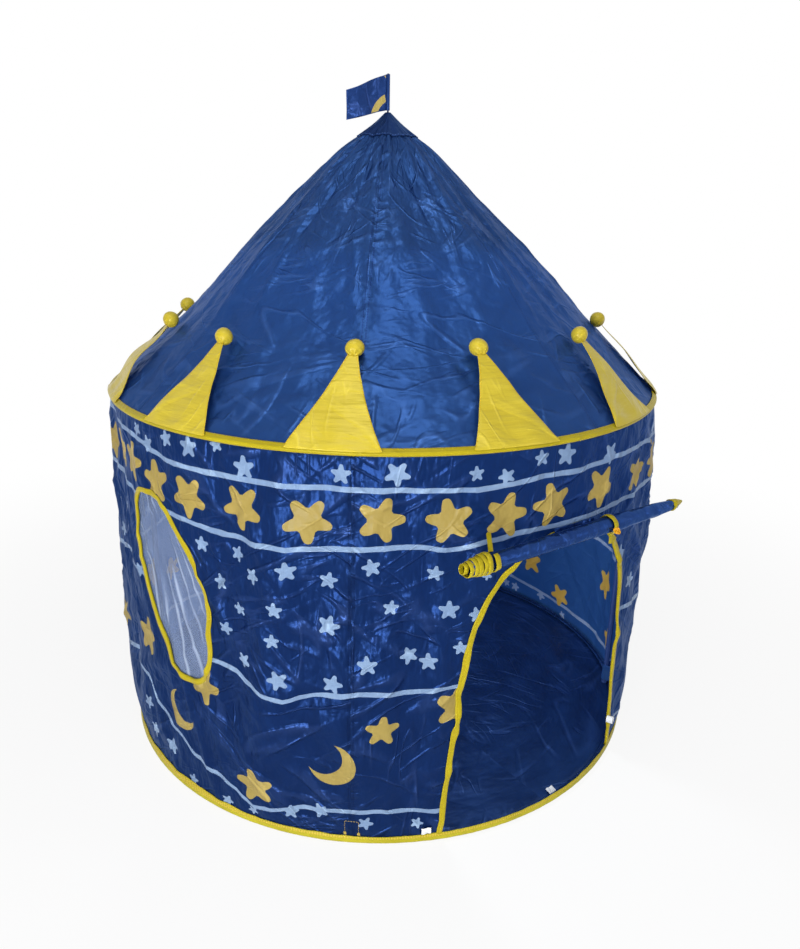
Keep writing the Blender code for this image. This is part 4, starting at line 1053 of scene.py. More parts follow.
class TENT_OT_openings(bpy.types.Operator):
    """Binds the doorway and the window, and stretches the window's net"""

    bl_idname = "tent.openings"
    bl_label = "Doorway and window"

    def execute(self, context):
        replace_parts(folded_tape("door_edge_tape", door_outline(), 0, False), "door_binding")
        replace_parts(folded_tape("window_edge_tape", window_outline(), WINDOW_AZIMUTH, True), "window_binding")
        edge = [place for place, _ in window_outline(0.006, 96)]
        shares = [max(i / 20, 0.02) for i in range(21)]

        def stretched(i, j):
            x, z = edge[j][0] * shares[i], mix(WINDOW_HEIGHT, edge[j][1], shares[i])
            folded = 0.0012 * math.sin((x * 0.966 + (z - WINDOW_HEIGHT) * 0.30) * 220 + 2)
            sag = (1 - shares[i] ** 2) * (0.006 + folded + 0.002 * noise.noise(Vector((x * 30, z * 14, 1))))
            return on_wall(seen_from(WINDOW_AZIMUTH, x, z), z, -0.0035 - sag)

        net = skin("window_net_cloth", grid(len(shares), len(edge), stretched), [finish("net")], ring=True)
        layer = net.data.uv_layers["cut"].data
        flat = [(x * share, (z - WINDOW_HEIGHT) * share) for share in shares for x, z in edge]
        for loop in net.data.loops:
            layer[loop.index].uv = flat[loop.vertex_index]
        thicken(net, 0.0006)
        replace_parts(net, "window_net")
        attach(net, "tent")
        return {"FINISHED"}


def fan(turn, pleats, shift, wander, size, seed):
    """Pleats that run up to the apex, from -1 to 1 and a little unevenly apart."""
    drift = noise.noise(Vector((math.sin(turn) * size, math.cos(turn) * size, seed)))
    return math.cos(pleats * turn + shift + wander * drift)


def roof_place(azimuth, along, over=0.0):
    """Point of the middle of the roof cloth, with its hollows between seams, pleats, folds and crumples."""
    up = min(max((along - GORE_START) / (GORE_END - GORE_START), 0), 1)
    across = ((azimuth - POLES[0]) % GORE_ANGLE) / GORE_ANGLE
    between_seams = math.sin(math.pi * across)
    turn = math.radians(azimuth)
    held = 1 - abs(2 * up - 1) ** 10
    width = HOOP_RADIUS * (1 - up) + 0.02
    above = 0.0022 * smooth((up - 0.45) / 0.4) * min(width / 0.1, 1) * fan(turn, 9, 0.8, 1.5, 2, 4)
    above += 0.0017 * smooth((up - 0.68) / 0.18) * min(width / 0.07, 1) * fan(turn, 25, 0, 2.5, 3, 9)
    above += 0.0034 * rumple(azimuth, along, 0.16, 0.16, 31) * smooth(width / 0.15)
    above += 0.0026 * rumple(azimuth + along * 30, along, 0.05, 0.30, 37) * smooth(width / 0.2)
    above += 0.0016 * rumple(azimuth - along * 120, along, 0.016, 0.05, 41) * math.exp(-along / 0.05)
    above += 0.0010 * rumple(azimuth + along * 60, along, 0.02, 0.03, 43) * smooth(width / 0.2)
    above += 0.0012 * (1 - between_seams) ** 12
    # Folds stand out where the crown points don't reach, and lie in under them
    under_crown = 1 - smooth((along - 0.18) / 0.06)
    long_fold = creased(rumple(azimuth + along * 22, along, 0.09, 0.60, 83), 5) * smooth(width / 0.25)
    above += long_fold * (0.0040 - 0.0070 * under_crown) * mix(1, between_seams, under_crown)
    slanting = creased(rumple(azimuth - along * 130, along, 0.06, 0.12, 89), 4)
    above -= 0.0040 * slanting * math.exp(-((along / 0.12) ** 2)) * between_seams
    above *= held
    above += 0.010 * smooth((up - 0.25) / 0.3) * smooth((1 - up) / 0.15)
    above -= ROOF_SAG * between_seams**2 * math.sin(math.pi * up) ** 2
    for first, high, second, low, depth in ROOF_CREASES:
        if low < along < high:
            middle = mix(first, second, (high - along) / (high - low))
            away = math.radians((azimuth - middle + 180) % 360 - 180) * width
            above += depth * math.sin(math.pi * (along - low) / (high - low)) * math.exp(-((away / 0.007) ** 2))
    return at(azimuth, *on_roof(along, above + over))


class TENT_OT_roof(bpy.types.Operator):
    """Sews the eight gores of the roof and the second layer at the apex"""

    bl_idname = "tent.roof"
    bl_label = "Roof"

    def execute(self, context):
        columns, steps, cap_steps = 42, 84, 14

        def sewn(a, b):
            along = mix(GORE_START, GORE_END, a / steps)
            return min(b, columns - b) / columns * math.radians(GORE_ANGLE) * on_roof(along, 0)[0], along

        def cap_radius(i):
            return mix(CAP_RADIUS, CAP_TOP_RADIUS, i / cap_steps)

        def cap_place(i, j):
            turn, up = math.radians(2 * j), i / cap_steps
            radius = cap_radius(i) * (1 + 0.02 * math.cos(7 * turn + 1) * (1 - up))
            pleat = creased(math.sin(7 * turn + 0.5), 1.6) + 0.6 * creased(math.sin(11 * turn), 2)
            over = 0.0017 + 0.0009 * smooth(i / 5) * (1 - 0.8 * up) * pleat
            return roof_place(2 * j, (HOOP_RADIUS - radius) / math.cos(SLOPE), over)

        def sewn_cap(a, b):
            return (CAP_RADIUS - cap_radius(a)) / math.cos(SLOPE), math.radians(2 * b) * CAP_RADIUS

        for number in range(8):

            def place(i, j, first=POLES[0] + GORE_ANGLE * number):
                return roof_place(first + GORE_ANGLE * j / columns, mix(GORE_START, GORE_END, i / steps))

            rows = grid(steps + 1, columns + 1, place)
            gore = skin(f"roof_gore_{number + 1}_cloth", rows, [finish("roof"), finish("roof back")], edges=sewn)
            thicken(gore, ROOF_CLOTH, 1)
            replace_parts(gore, f"roof_gore_{number + 1}")
            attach(gore, "tent")
        cap = skin("apex_cap_cloth", grid(cap_steps + 1, 180, cap_place), [finish("cap")], ring=True, edges=sewn_cap)
        thicken(cap, ROOF_CLOTH)
        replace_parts(cap, "apex_cap")
        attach(cap, "tent")
        return {"FINISHED"}


class TENT_OT_bindings(bpy.types.Operator):
    """Folds the two rim tapes round their hoops"""

    bl_idname = "tent.bindings"
    bl_label = "Rim bindings"

    def execute(self, context):
        self.bind_eave(480)
        self.bind_base(480)
        return {"FINISHED"}

    def bind_eave(self, stations):
        def bow(radius, turns):
            return [(radius * math.cos(math.radians(turn)), radius * math.sin(math.radians(turn))) for turn in turns]

        lap = [(0.0080, 0.0024), (0.0066, 0.0030), (0.0048, 0.0035)]
        section = lap + bow(0.0043, range(50, 330, 20)) + [(along, -above) for along, above in reversed(lap)]
        lining = [(0.0078, -0.0014), (0.0050, -0.0016)]
        section += lining + bow(0.0030, range(315, 15, -30)) + [(along, -above) for along, above in reversed(lining)]

        def place(i, j):
            azimuth = 360 * i / stations
            wave = 1 + 0.05 * rumple(azimuth, 0, 0.012, 1, 51) + 0.05 * rumple(azimuth, 0, 0.05, 1, 53)
            return at(azimuth, *on_roof(section[j][0], section[j][1] * wave))

        def sewn(a, b):
            return abs(lap[0][0] - section[b % len(section)][0]), along_hoop(360 * a / stations)

        rows = grid(stations, len(section), place)
        tape = skin("eave_binding_tape", rows, [finish("tape")], ring=True, loop=True, edges=sewn)
        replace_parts(tape, "eave_binding")
        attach(tape, "tent")

    def bind_base(self, stations):
        # Inner side of the tape, from the ground sheet's hem up to the wall: radius and height
        lining = (
            (0.5125, 0.0046), (0.5113, 0.0038), (0.5118, 0.0028), (0.5160, 0.0032), (0.5170, 0.0064),
            (HOOP_RADIUS - 0.0020, 0.0075), (HOOP_RADIUS + 0.0006, 0.0081),
        )
        rows = []
        for i in range(stations):
            azimuth = 360 * i / stations
            lap = 0.0135 + 0.0075 * math.exp(-((((azimuth + 84 + 180) % 360 - 180) / 26) ** 2))
            lap += 0.0012 * rumple(azimuth, 0, 0.03, 1, 61)
            full = 0.0043 + 0.0004 * rumple(azimuth, 0, 0.012, 1, 63)
            row = [
                at(azimuth, wall_radius(azimuth, lap) + 0.0012, lap),
                at(azimuth, wall_radius(azimuth, lap) + 0.0024, lap - 0.0006),
                at(azimuth, HOOP_RADIUS + full * 0.80, BINDING_RADIUS + 0.0048),
            ]
            for turn in (math.radians(20 - 22 * j) for j in range(12)):
                height = BINDING_RADIUS + full * math.sin(turn)
                row.append(at(azimuth, HOOP_RADIUS + full * math.cos(turn), max(height, 0.0003)))
            row += [at(azimuth, *place) for place in lining]
            rows.append(row + [at(azimuth, wall_radius(azimuth, lap) + 0.0008, lap - 0.0006)])

        def sewn(a, b):
            return (0.0032 if b in (1, 2) else 0.02), along_hoop(360 * a / stations)

        finishes = [finish("base tape"), finish("floor")]
        tape = skin("base_binding_tape", rows, finishes, ring=True, loop=True, edges=sewn)
        for face in tape.data.polygons:
            if math.hypot(*face.center[:2]) < HOOP_RADIUS + 0.0004 and face.center[2] > 0.0024:
                face.material_index = 1
        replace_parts(tape, "base_binding")
        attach(tape, "tent")


def crown_half(up):
    """Half the width of a crown point at a share of its length."""
    return mix(CROWN_TIP_HALF, CROWN_HALF_WIDTH, min(max(1 - up, 0), 1) ** CROWN_TAPER)


def sewn_pad(seed):
    """Points of a flat sewn crown point before its padding, and its faces: two layers closed at their rims."""
    columns, steps = 22, 40
    points = []
    for side in (1, -1):
        for i in range(steps + 1):
            up = i / steps
            half = crown_half(up) + 0.0012 * noise.noise(Vector((up * 7, seed, 3)))
            for j in range(columns + 1):
                share = j / columns
                flat = math.sin(math.pi * share) ** 0.5 * math.sin(math.pi * min(max(up, 0.03), 0.985)) ** 0.5
                points.append(Vector((half * (2 * share - 1), CROWN_LENGTH * up, side * (0.0005 + 0.0010 * flat))))
    layer = (steps + 1) * (columns + 1)
    faces = []
    for i in range(steps):
        for j in range(columns):
            low = i * (columns + 1) + j
            face = [low, low + 1, low + columns + 2, low + columns + 1]
            faces += [face, [corner + layer for corner in reversed(face)]]
    rim = list(range(columns + 1))
    rim += [i * (columns + 1) + columns for i in range(1, steps + 1)]
    rim += [steps * (columns + 1) + j for j in range(columns - 1, -1, -1)]
    rim += [i * (columns + 1) for i in range(steps - 1, 0, -1)]
    for a, b in zip(rim, rim[1:] + rim[:1]):
        faces.append([a, a + layer, b + layer, b])
    return points, faces


def swollen_pad(seed, puff):
    """A crown point's cloth after it is stuffed: blown up by simulation, each point's move kept within the puff."""
    points, faces = sewn_pad(seed)
    moved = []
    piece = add_piece("pad_in_making", points, faces, [])
    sewn = [i for i, point in enumerate(points) if point[1] < 0.002 or point[1] > CROWN_LENGTH - 0.003]
    piece.vertex_groups.new(name="sewn").add(sewn, 1.0, "REPLACE")
    modifier = piece.modifiers.new("padding", "CLOTH")
    for name, value in PADDING.items():
        setattr(modifier.settings, name, value)
    modifier.settings.effector_weights.gravity = 0
    modifier.collision_settings.use_collision = False
    modifier.point_cache.frame_start = 1
    modifier.point_cache.frame_end = PADDING_FRAMES
    scene = bpy.context.scene
    for step in range(1, PADDING_FRAMES + 1):
        scene.frame_set(step)
    blown = piece.evaluated_get(bpy.context.evaluated_depsgraph_get()).to_mesh()
    for point, vertex in zip(points, blown.vertices):
        move = vertex.co - point
        if move.length > puff:
            move = move.normalized() * puff
        moved.append(point + move)
    scene.frame_set(1)
    bpy.data.objects.remove(piece, do_unlink=True)
    return moved, faces


def crown_ball(seed):
    """Points and faces of the stuffed ball: round above, gathered in pleats at its neck."""
    points, faces = [], []
    rings, sides = 14, 28
    for i in range(rings + 1):
        polar = math.pi * i / rings
        for j in range(sides):
            turn = math.tau * j / sides
            gather = smooth((polar - 1.7) / 1.2)
            size = BALL_RADIUS * (1 - gather * (0.10 + 0.07 * math.cos(7 * turn + seed)))
            size *= 1 + 0.03 * noise.noise(Vector((math.cos(turn), math.sin(turn), polar + seed)))
            across = size * max(math.sin(polar), 0.02)
            points.append(Vector((across * math.cos(turn), size * math.cos(polar), across * math.sin(turn))))
    for i in range(rings):
        for j in range(sides):
            k = (j + 1) % sides
            faces.append([i * sides + j, (i + 1) * sides + j, (i + 1) * sides + k, i * sides + k])
    faces.append(list(range(sides)))
    faces.append([rings * sides + j for j in reversed(range(sides))])
    return points, faces


class TENT_OT_crown_points(bpy.types.Operator):
    """Sews and stuffs the twelve crown points round the eave"""

    bl_idname = "tent.crown_points"
    bl_label = "Crown points"

    def execute(self, context):
        puff = context.scene.tent_sizes.puff
        pads = [swollen_pad(seed, puff) for seed in (1.0, 5.0)]
        for number in range(12):
            pad_points, pad_faces = pads[number % 2]
            ball_points, ball_faces = crown_ball(number)
            flat = pad_points + [point + Vector((0, CROWN_LENGTH, 0)) for point in ball_points]
            faces = pad_faces + [[corner + len(pad_points) for corner in face] for face in ball_faces]
            cut, sewn = [], []
            for corner in (corner for face in faces for corner in face):
                x, y = flat[corner][:2]
                cut.append((x, y))
                half = crown_half(y / CROWN_LENGTH)
                sewn.append((max(half - abs(x), 0) * 0.92 if corner < len(pad_points) else 0.03, y))
            points = [self.place(number, point) for point in flat]
            maps = {"cut": cut, "edge": sewn}
            piece = add_piece(f"crown_point_{number + 1}_satin", points, faces, [finish("satin")], maps)
            turned_out(piece)
            rounder(piece)
            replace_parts(piece, f"crown_point_{number + 1}")
            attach(piece, f"crown_{number + 1}")
        return {"FINISHED"}

    def place(self, number, point):
        """Where a point of a flat pad lies over the roof: bowed, rippled, leaning aside and held off the cloth."""
        up = point[1] / CROWN_LENGTH
        wave = 0.0060 if number == 11 else 0.0022
        bow = wave * math.sin(math.pi * min(max(up, 0), 1)) * (0.4 + math.sin(2.2 * up * math.pi + number))
        ripple = 0.0016 * smooth((0.5 - up) / 0.5) * math.sin(point[0] * 95 + number * 2.1) * smooth(up / 0.08)
        floor = -0.0010 - 0.0085 * smooth(up / 0.25) * (1 - smooth((up - 0.75) / 0.25) * 0.3)
        out = max(point[2] + bow + ripple, floor if up < 0.9 else -1)
        radius = HINGE_RADIUS - point[1] * math.cos(CROWN_RISE) + out * math.sin(CROWN_RISE)
        height = HINGE_HEIGHT + point[1] * math.sin(CROWN_RISE) + out * math.cos(CROWN_RISE)
        aside = (-1 if number % 4 in (1, 2) else 1) * point[0] + CROWN_LEANS[number] * up**1.4
        return at(CROWN_FIRST_AZIMUTH + 30 * number + math.degrees(aside / max(radius, 0.1)), radius, height)


def roll_girth(x):
    return between(ROLL_GIRTHS, x / (-ROLL_LEFT if x < 0 else ROLL_RIGHT))


def on_roll(x, inward, up):
    return Vector((x, inward - ROLL_FORWARD, up + ROLL_HEIGHT))


def round_roll(x, radius, turn):
    return on_roll(x, radius * math.cos(turn), radius * math.sin(turn))


class TENT_OT_door_roll(bpy.types.Operator):
    """Rolls up the door flap, winds its bound edge and ties it"""

    bl_idname = "tent.door_roll"
    bl_label = "Rolled door flap"

    def execute(self, context):
        roll, neck, tip = self.roll_flap(), self.hang_neck(), self.wrap_tip()
        for piece in (roll, neck, tip):
            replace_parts(piece, "door_roll")
            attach(piece, "roll")
        self.wind_edge()
        for name, x in TIES:
            self.tie_roll(name, x)
        return {"FINISHED"}

    def roll_flap(self):
        turns, steps = 4, 20
        rows = []
        for i in range(97):
            x = mix(ROLL_LEFT - 0.030, ROLL_RIGHT, i / 96)
            slack = 1 - sum(math.exp(-(((x - tied - TIE_WIDTH / 2) / 0.017) ** 2)) for _, tied in TIES)
            twisted = smooth((x - 0.075) / 0.04)
            row = []
            for j in range(turns * steps + 1):
                radius, turn = mix(ROLL_RADIUS - 0.00065, 0.0036, j / (turns * steps)), math.tau * j / steps
                outer = smooth((radius - 0.0108) / 0.002)
                off_wall = (1 - math.cos(turn)) / 2
                hanging = 0.14 * slack * smooth(math.cos(turn - 4.1))
                loose = noise.noise(Vector((x * 26 + 2 * math.cos(turn), 2 * math.sin(turn), 3)))
                creases = 0.0013 * twisted * math.cos(4 * turn + x * 75 + 3 * loose) + 0.0010 * loose
                creases += 0.0012 * creased(noise.noise(Vector((x * 14, 3 * math.cos(turn), 3 * math.sin(turn)))), 4)
                size = radius * roll_girth(x) * (1 + outer * hanging) + outer * (0.0006 * loose - 0.0004)
                row.append(round_roll(x, size + outer * off_wall * max(slack, 0) * creases, turn))
            rows.append(row)
        roll = skin("door_roll_cloth", rows, [finish("flap")])
        thicken(roll, ROLL_THICKNESS)
        return roll

    def hang_neck(self):
        def place(i, j):
            x, share = mix(-0.045, 0.045, i / 24), j / 8
            roll_side = round_roll(x, ROLL_RADIUS + 0.0004, math.radians(mix(8, 62, share)))
            return roll_side.lerp(Vector((x, -0.52440, mix(0.534, 0.5435, share))), smooth(share * 1.2))

        neck = skin("door_roll_neck", grid(25, 9, place), [finish("flap")])
        thicken(neck, 0.0010)
        return neck

    def wrap_tip(self):
        def place(i, j):
            share, turn = i / 14, math.tau * j / 24
            size = mix(0.0104, 0.0018, share**1.2)
            size *= 1 + 0.07 * math.cos(2 * turn + share * 5) + 0.10 * ((j / 24 + share * 1.5) % 1)
            wrapped = round_roll(mix(ROLL_RIGHT - 0.012, ROLL_RIGHT + 0.0185, share), size, turn)
            return wrapped + Vector((0, 0, 0.001 * share))

        tip = skin("door_roll_tip", grid(15, 24, place), [finish("tape")], ring=True, edges=lambda a, b: (0.02, 0))
        closed_ends(tip, 15, 24)
        return tip

    def wind_edge(self):
        turns, steps = 6, 28
        profile = ((-1, -1.2), (-0.7, -1.2), (0.7, -1.2), (1, -1.2), (0.9, 0.0), (0.45, 1.4), (-0.45, 1.4), (-0.9, 0.0))

        def place(i, j):
            share, turn = i / (turns * steps), math.tau * i / steps
            radius = mix(0.0168, 0.0092, share) - 0.0068 * smooth((share - 0.83) / 0.17)
            radius += 0.0006 * math.sin(i * 0.9) * math.sin(i * 0.13) + profile[j][1] * 0.0005
            x = ROLL_LEFT + 0.0028 - 0.046 * share + 0.0006 * math.sin(i * 0.35)
            return round_roll(x + profile[j][0] * 0.0044, radius, turn)

        def sewn(a, b):
            return (0.0028 if b % 8 == 4 else 0.012), a * 0.0027

        rows = grid(turns * steps + 1, 8, place)
        edge = skin("door_roll_edge_tape", rows, [finish("tape")], ring=True, edges=sewn)
        closed_ends(edge, len(rows), 8)
        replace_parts(edge, "door_roll_edge")
        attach(edge, "roll")

    def tie_roll(self, name, x):
        """Ties a tape round the roll: the left one is sewn to the wall behind, the other is knotted and hangs."""
        left = name == "roll_tie_left"
        sewn_aside = 0.026 if left else 0
        around = ROLL_RADIUS * max(roll_girth(x), roll_girth(x + TIE_WIDTH)) + 0.0012
        turns = [math.radians(70 - 8 * i) for i in range(41)]
        path = [(around * math.cos(turn), around * math.sin(turn)) for turn in turns]
        if left:
            end_height = path[0][1] + 0.0100
            azimuth = seen_from(0, x + TIE_WIDTH / 2 + sewn_aside, ROLL_HEIGHT + end_height)
            at_wall = on_wall(azimuth, ROLL_HEIGHT + end_height, WALL_CLOTH / 2 + 0.0016)
            path = [(ROLL_FORWARD + at_wall[1], end_height)] + path
        else:
            path = [(-a, -b) for a, b in reversed(path)]
            tail = path[-1]
            path += [(tail[0] - 0.0012 - 0.0010 * down, tail[1] - 0.015 * down) for down in (0.2, 0.45, 0.7, 1.0)]

        def place(i, j):
            across = (0.0, 0.22, 0.5, 0.78, 1.0)[j]
            curl = 0.0005 * (1 - abs(2 * across - 1)) + 0.0003 * math.sin(i * 0.8 + across * 3)
            aside = 0.0006 * math.sin(i * 0.5) + (sewn_aside if i == 0 else 0)
            inward, up = (part * (1 + curl / around) for part in path[i])
            return on_roll(x + TIE_WIDTH * across + aside, inward, up)

        def sewn(a, b):
            return (0.0015 if b in (1, 3) else 0.0), a * 0.002

        tie = skin(name + "_tape", grid(len(path), 5, place), [finish("tape")], edges=sewn)
        thicken(tie, 0.0010)
        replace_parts(tie, name)
        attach(tie, "roll")
        if not left:
            self.knot_tie(x + TIE_WIDTH / 2)

    def knot_tie(self, x):
        def place(i, j):
            turn, spin = math.tau * i / 72, math.tau * j / 8
            aside = 0.0032 * math.cos(2 * turn) + 0.0016 * math.cos(turn) + 0.0022 * math.cos(spin)
            inward = 0.0030 * math.sin(3 * turn) + 0.00132 * math.sin(spin) - 0.0175
            return on_roll(x + aside, inward, 0.0036 * math.sin(2 * turn) + 0.0022 * math.sin(spin) - 0.004)

        knot = skin("roll_tie_knot", grid(73, 8, place), [finish("knot")], ring=True, loop=True)
        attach(knot, "roll")


class TENT_OT_flag(bpy.types.Operator):
    """Hangs the small flag on its stem"""

    bl_idname = "tent.flag"
    bl_label = "Flag"

    def execute(self, context):
        def lift(x, y):
            along, up = x / FLAG_LENGTH, y / FLAG_HOIST
            wave = 0.004 * math.sin(math.tau * along) + 0.0012 * math.sin(along * 9 + up * 5)
            height = mix(-0.016 * along, mix(FLAG_HOIST, 0.034, along), up)
            spot = Vector((wave * smooth(along / 0.15), -SLEEVE_RADIUS - FLAG_LENGTH * along, height))
            return swung(spot, FLAG_AZIMUTH) + Vector((0, 0, FLAG_BOTTOM))

        def arc(first, last, aside, width, height):
            turns = [math.radians(mix(first, last, i / 18)) for i in range(19)]
            return [(aside + width * math.cos(turn), -0.012 + height * math.sin(turn)) for turn in turns]

        def sleeve_place(i, j):
            turn = math.tau * j / 16
            up = FLAG_BOTTOM + FLAG_HOIST * i / 12
            return Vector((SLEEVE_RADIUS * math.cos(turn), SLEEVE_RADIUS * math.sin(turn), up))

        corners = [(0, 0), (FLAG_LENGTH, 0), (FLAG_LENGTH, FLAG_HOIST), (0, FLAG_HOIST)]
        outline = []
        for corner, following in zip(corners, corners[1:] + corners[:1]):
            outline += spaced(corner, following, 0.003)
        hem = 0.0012
        moon = arc(-18, 78, -0.004, 0.0330, 0.040) + arc(78, -12, -0.005, 0.0215, 0.0275)
        moon = [(max(x, hem), max(y, hem)) for x, y in moon]
        star_tip = [(hem, FLAG_HOIST - hem), (hem, FLAG_HOIST - 0.006), (0.0045, FLAG_HOIST - hem)]
        finishes = [finish("flag"), finish("flag gold")]
        flag = cut_cloth(
            "flag_cloth", outline, None, [(1, moon), (1, star_tip)], lift, finishes, 0.003, lambda x, y: (0.02, 0)
        )
        thicken(flag, 0.0010)
        sleeve = skin("flag_sleeve", grid(13, 16, sleeve_place), [finish("flag")], ring=True)
        thicken(sleeve, 0.0008)
        for piece in (flag, sleeve):
            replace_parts(piece, "flag")
            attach(piece, "flag")
        return {"FINISHED"}


def thread_run(points, faces, start, end, out, thick=0.00045):
    """Adds one stitch to a list of points and faces: a small pillow of thread along the wall."""
    first = len(points)
    (start_azimuth, start_height), (end_azimuth, end_height) = start, end
    run = Vector((along_hoop(end_azimuth - start_azimuth), end_height - start_height))
    side = Vector((-run[1], run[0])).normalized() * thick
    for share, swell in ((0, 0.3), (0.25, 1), (0.75, 1), (1, 0.3)):
        azimuth, height = mix(start_azimuth, end_azimuth, share), mix(start_height, end_height, share)
        for across, lifted in ((-1, 0), (0, 1), (1, 0)):
            moved = azimuth + math.degrees(side[0] * across * swell / HOOP_RADIUS)
            points.append(on_wall(moved, height + side[1] * across * swell, out + thick * 1.4 * lifted * swell))
    for i in range(3):
        for j in range(2):
            low = first + i * 3 + j
            faces.append([low, low + 1, low + 4, low + 3])


class TENT_OT_foot(bpy.types.Operator):
    """Sews the foot pockets, their stitches and the bare tabs at the foot of the wall"""

    bl_idname = "tent.foot"
    bl_label = "Foot pockets and tabs"

    def execute(self, context):
        sizes = context.scene.tent_sizes
        for number, azimuth in enumerate(POLES, 1):
            self.sew_pocket(number, azimuth)
            self.stitch_pocket(number, azimuth, sizes.stitch_pitch)
        self.sew_tabs(sizes.tab_width)
        return {"FINISHED"}

    def sew_pocket(self, number, azimuth):
        leg_side = LEG_RADIUS - wall_radius(azimuth, 0.03) + WALL_CLOTH / 2 + 0.0012
        turns = [math.pi * i / 16 for i in range(17)]
        bow = [(0.0073 * math.cos(turn), 0.0073 * math.sin(turn)) for turn in turns]
        path = [(0.0135, leg_side), *bow, (-0.0135, leg_side)]

        def place(i, j):
            (aside, inward), up = path[j], i / 12
            flare = 1 + 0.05 * math.cos(up * math.tau)
            spot = Vector((aside * flare, inward * (flare if inward > 0 else 1), 0))
            return swung(spot, azimuth) + at(azimuth, LEG_RADIUS, POCKET_BOTTOM + POCKET_HEIGHT * up)

        pocket = skin(f"foot_pocket_{number}_cloth", grid(13, len(path), place), [finish("wall back")])
        thicken(pocket, 0.0010)
        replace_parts(pocket, f"foot_pocket_{number}")
        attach(pocket, "tent")

    def stitch_pocket(self, number, azimuth, pitch):
        points, faces = [], []
        half = math.degrees(0.0115 / HOOP_RADIUS)
        left, right = azimuth - half, azimuth + half
        corners = [(left, 0.018), (left, 0.046), (right, 0.046), (right, 0.018)]
        for start, end in zip(corners, corners[1:]):
            count = round(math.hypot(along_hoop(end[0] - start[0]), end[1] - start[1]) / pitch)
            for i in range(count):
                a, b = (tuple(mix(p, q, (i + share) / count) for p, q in zip(start, end)) for share in (0.1, 0.8))
                thread_run(points, faces, a, b, WALL_CLOTH / 2)
        for middle in (left, right):
            for height in (0.0165 + 0.0009 * i for i in range(7)):
                thread_run(points, faces, (middle - 0.28, height), (middle + 0.28, height), WALL_CLOTH / 2, 0.0005)
        flat = [(0.0, 0.0)] * sum(len(face) for face in faces)
        stitches = add_piece(f"foot_pocket_{number}_stitches", points, faces, [finish("thread")], {"cut": flat})
        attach(stitches, "tent")

    def sew_tabs(self, width):
        def outer(i, j):
            up, aside = i / 8, mix(-width / 2, width / 2, j / 8)
            out = 0.0022 + 0.0030 * math.sin(up * 2.6) + 0.0008 * math.sin(j * 0.9)
            return on_wall(-26.4 + math.degrees(aside / HOOP_RADIUS), 0.0150 + width * 0.85 * up, out)

        def inner(i, j):
            up, aside = i / 8, mix(-width / 2, width / 2, j / 8)
            spot = (aside, -0.512 + width * 0.72 * up, 0.0042 + 0.0035 * up + 0.0006 * math.sin(j))
            return swung(Vector(spot), 3.0)

        def curled(i, j):
            turn, size = math.radians(mix(-40, 300, i / 32)), mix(0.0068, 0.0050, i / 32)
            spot = Vector((size * math.cos(turn), -0.006 + 0.004 * j, size * math.sin(turn) * 1.2))
            return on_wall(22.4, 0.074, 0.0068) + swung(spot, 24)

        for name, place in (("outer", outer), ("inner", inner)):
            tab = skin(f"{name}_white_tab", grid(9, 9, place), [finish("tab")])
            thicken(tab, 0.0006)
            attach(tab, "tent")
        curl = skin("door_foot_curl", grid(33, 4, curled), [finish("tab")])
        thicken(curl, 0.0007)
        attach(curl, "tent")


class TENT_OT_frame_finish(bpy.types.Operator):
    """Gives the poles, fittings and hoops of the frame their finishes"""

    bl_idname = "tent.frame_finish"
    bl_label = "Frame finishes"

    def execute(self, context):
        looks = {
            "leg_": "pole", "roof_pole": "pole", "eave_elbow": "fitting", "apex_hub": "fitting",
            "flag_stem": "fitting", "base_hoop": "steel", "eave_hoop": "steel",
        }
        for name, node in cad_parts.items():
            for start, look in looks.items():
                if name.startswith(start):
                    for place in node.material_slots:
                        place.material = finish(look)
        return {"FINISHED"}


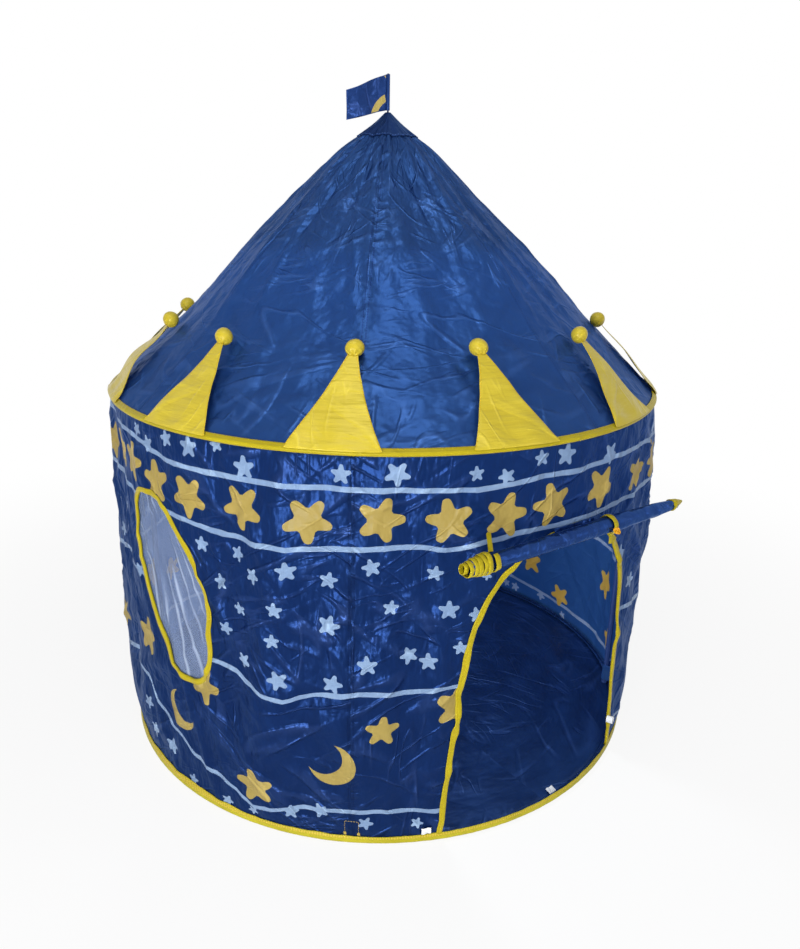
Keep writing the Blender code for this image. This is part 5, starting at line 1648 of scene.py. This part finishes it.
class TENT_OT_stage(bpy.types.Operator):
    """Sets the pale floor, the soft light and the camera"""

    bl_idname = "tent.stage"
    bl_label = "Stage"

    def execute(self, context):
        stage = context.scene.tent_stage
        points = [Vector((0, 0, 0))] + [at(5 * i, 9, 0) for i in range(72)]
        faces = [[0, 1 + i, 1 + (i + 1) % 72] for i in range(72)]
        floor = add_piece("floor", points, faces, [self.floor_finish()])
        floor.location[2] = -0.0004
        self.hang_lamp("key lamp", (-1.86, -1.52, 0.42), 0.9, stage.key_power)
        self.hang_lamp("overhead lamp", (-0.75, -0.95, 3.0), 1.7, stage.overhead_power)
        self.hang_lamp("fill lamp", (0.8, -2.6, 1.3), 1.4, stage.fill_power)
        self.hang_lamp("glow through the roof", (0, 0, 0.95), 0.25, stage.glow_power, (0.85, 0.92, 1.0))
        world = bpy.data.worlds.new("white room")
        world.use_nodes = True
        seen = Wire(world.node_tree).seen()
        background = world.node_tree.nodes["Background"]
        background.inputs["Color"].default_value = (1, 1, 1, 1)
        feed(background, "Strength", seen + (1 - seen) * stage.sky_strength)
        context.scene.world = world
        self.place_camera(stage.focal_length)
        context.scene.view_settings.view_transform = "Standard"
        return {"FINISHED"}

    def floor_finish(self):
        """Pale floor that keeps its shadow and melts into the white room."""
        material, shader, start = blank_finish("pale floor")
        set_up(shader, {"Base Color": (0.86, 0.86, 0.86, 1), "Roughness": 0.7})
        where = start.node("ShaderNodeNewGeometry", output="Position")
        far = where.node("ShaderNodeVectorMath", {"operation": "LENGTH"}, {0: where}, output="Value")
        share = start.seen() * (far.eased(0.7, 2.0) * 0.12 + 0.88)
        mixed_in(shader, share, start.node("ShaderNodeEmission", values={"Color": (1, 1, 1, 1), "Strength": 1}))
        return material

    def hang_lamp(self, name, place, size, power, colour=(1, 1, 1)):
        """Hangs a round lamp that shines at the middle of the tent."""
        lamp = bpy.data.lights.new(name, "AREA")
        lamp.color = colour
        lamp.shape = "DISK"
        lamp.size = size
        lamp.energy = power
        hung = bpy.data.objects.new(name, lamp)
        hung.location = place
        hung.rotation_euler = (Vector(LAMPS_AIM) - Vector(place)).to_track_quat("-Z", "Y").to_euler()
        bpy.context.scene.collection.objects.link(hung)

    def place_camera(self, focal_length):
        """Puts the camera where the photo was taken from."""
        lens = bpy.data.cameras.new("camera")
        lens.sensor_width = 36
        lens.lens = focal_length
        camera = bpy.data.objects.new("camera", lens)
        place = Matrix.Translation(CAMERA_PLACE)
        for degrees, axis in CAMERA_TURNS:
            place = place @ Matrix.Rotation(math.radians(degrees), 4, axis)
        camera.matrix_world = place
        bpy.context.scene.collection.objects.link(camera)
        bpy.context.scene.camera = camera


OPERATORS = (
    TENT_OT_ground_sheet,
    TENT_OT_bindings,
    TENT_OT_walls,
    TENT_OT_openings,
    TENT_OT_roof,
    TENT_OT_crown_points,
    TENT_OT_door_roll,
    TENT_OT_flag,
    TENT_OT_foot,
    TENT_OT_frame_finish,
    TENT_OT_stage,
)


class TENT_PT_pieces(bpy.types.Panel):
    """Lists the tent's pieces and their settings"""

    bl_label = "Play tent"
    bl_idname = "TENT_PT_pieces"
    bl_space_type = "VIEW_3D"
    bl_region_type = "UI"
    bl_category = "Play tent"

    def draw(self, context):
        for group in (context.scene.tent_sizes, context.scene.tent_colours, context.scene.tent_stage):
            box = self.layout.box()
            for name in group.__annotations__:
                box.prop(group, name)
        for operator in OPERATORS:
            self.layout.operator(operator.bl_idname)


GROUPS = {"tent_colours": TentColours, "tent_sizes": TentSizes, "tent_stage": TentStage}


def register():
    for group in GROUPS.values():
        bpy.utils.register_class(group)
    for name, group in GROUPS.items():
        setattr(bpy.types.Scene, name, bpy.props.PointerProperty(type=group))
    for operator in OPERATORS:
        bpy.utils.register_class(operator)
    bpy.utils.register_class(TENT_PT_pieces)


def unregister():
    bpy.utils.unregister_class(TENT_PT_pieces)
    for operator in reversed(OPERATORS):
        bpy.utils.unregister_class(operator)
    for name, group in GROUPS.items():
        delattr(bpy.types.Scene, name)
        bpy.utils.unregister_class(group)


def main():
    register()
    for operator in OPERATORS:
        group, name = operator.bl_idname.split(".")
        getattr(getattr(bpy.ops, group), name)()


if __name__ == "__main__":
    main()
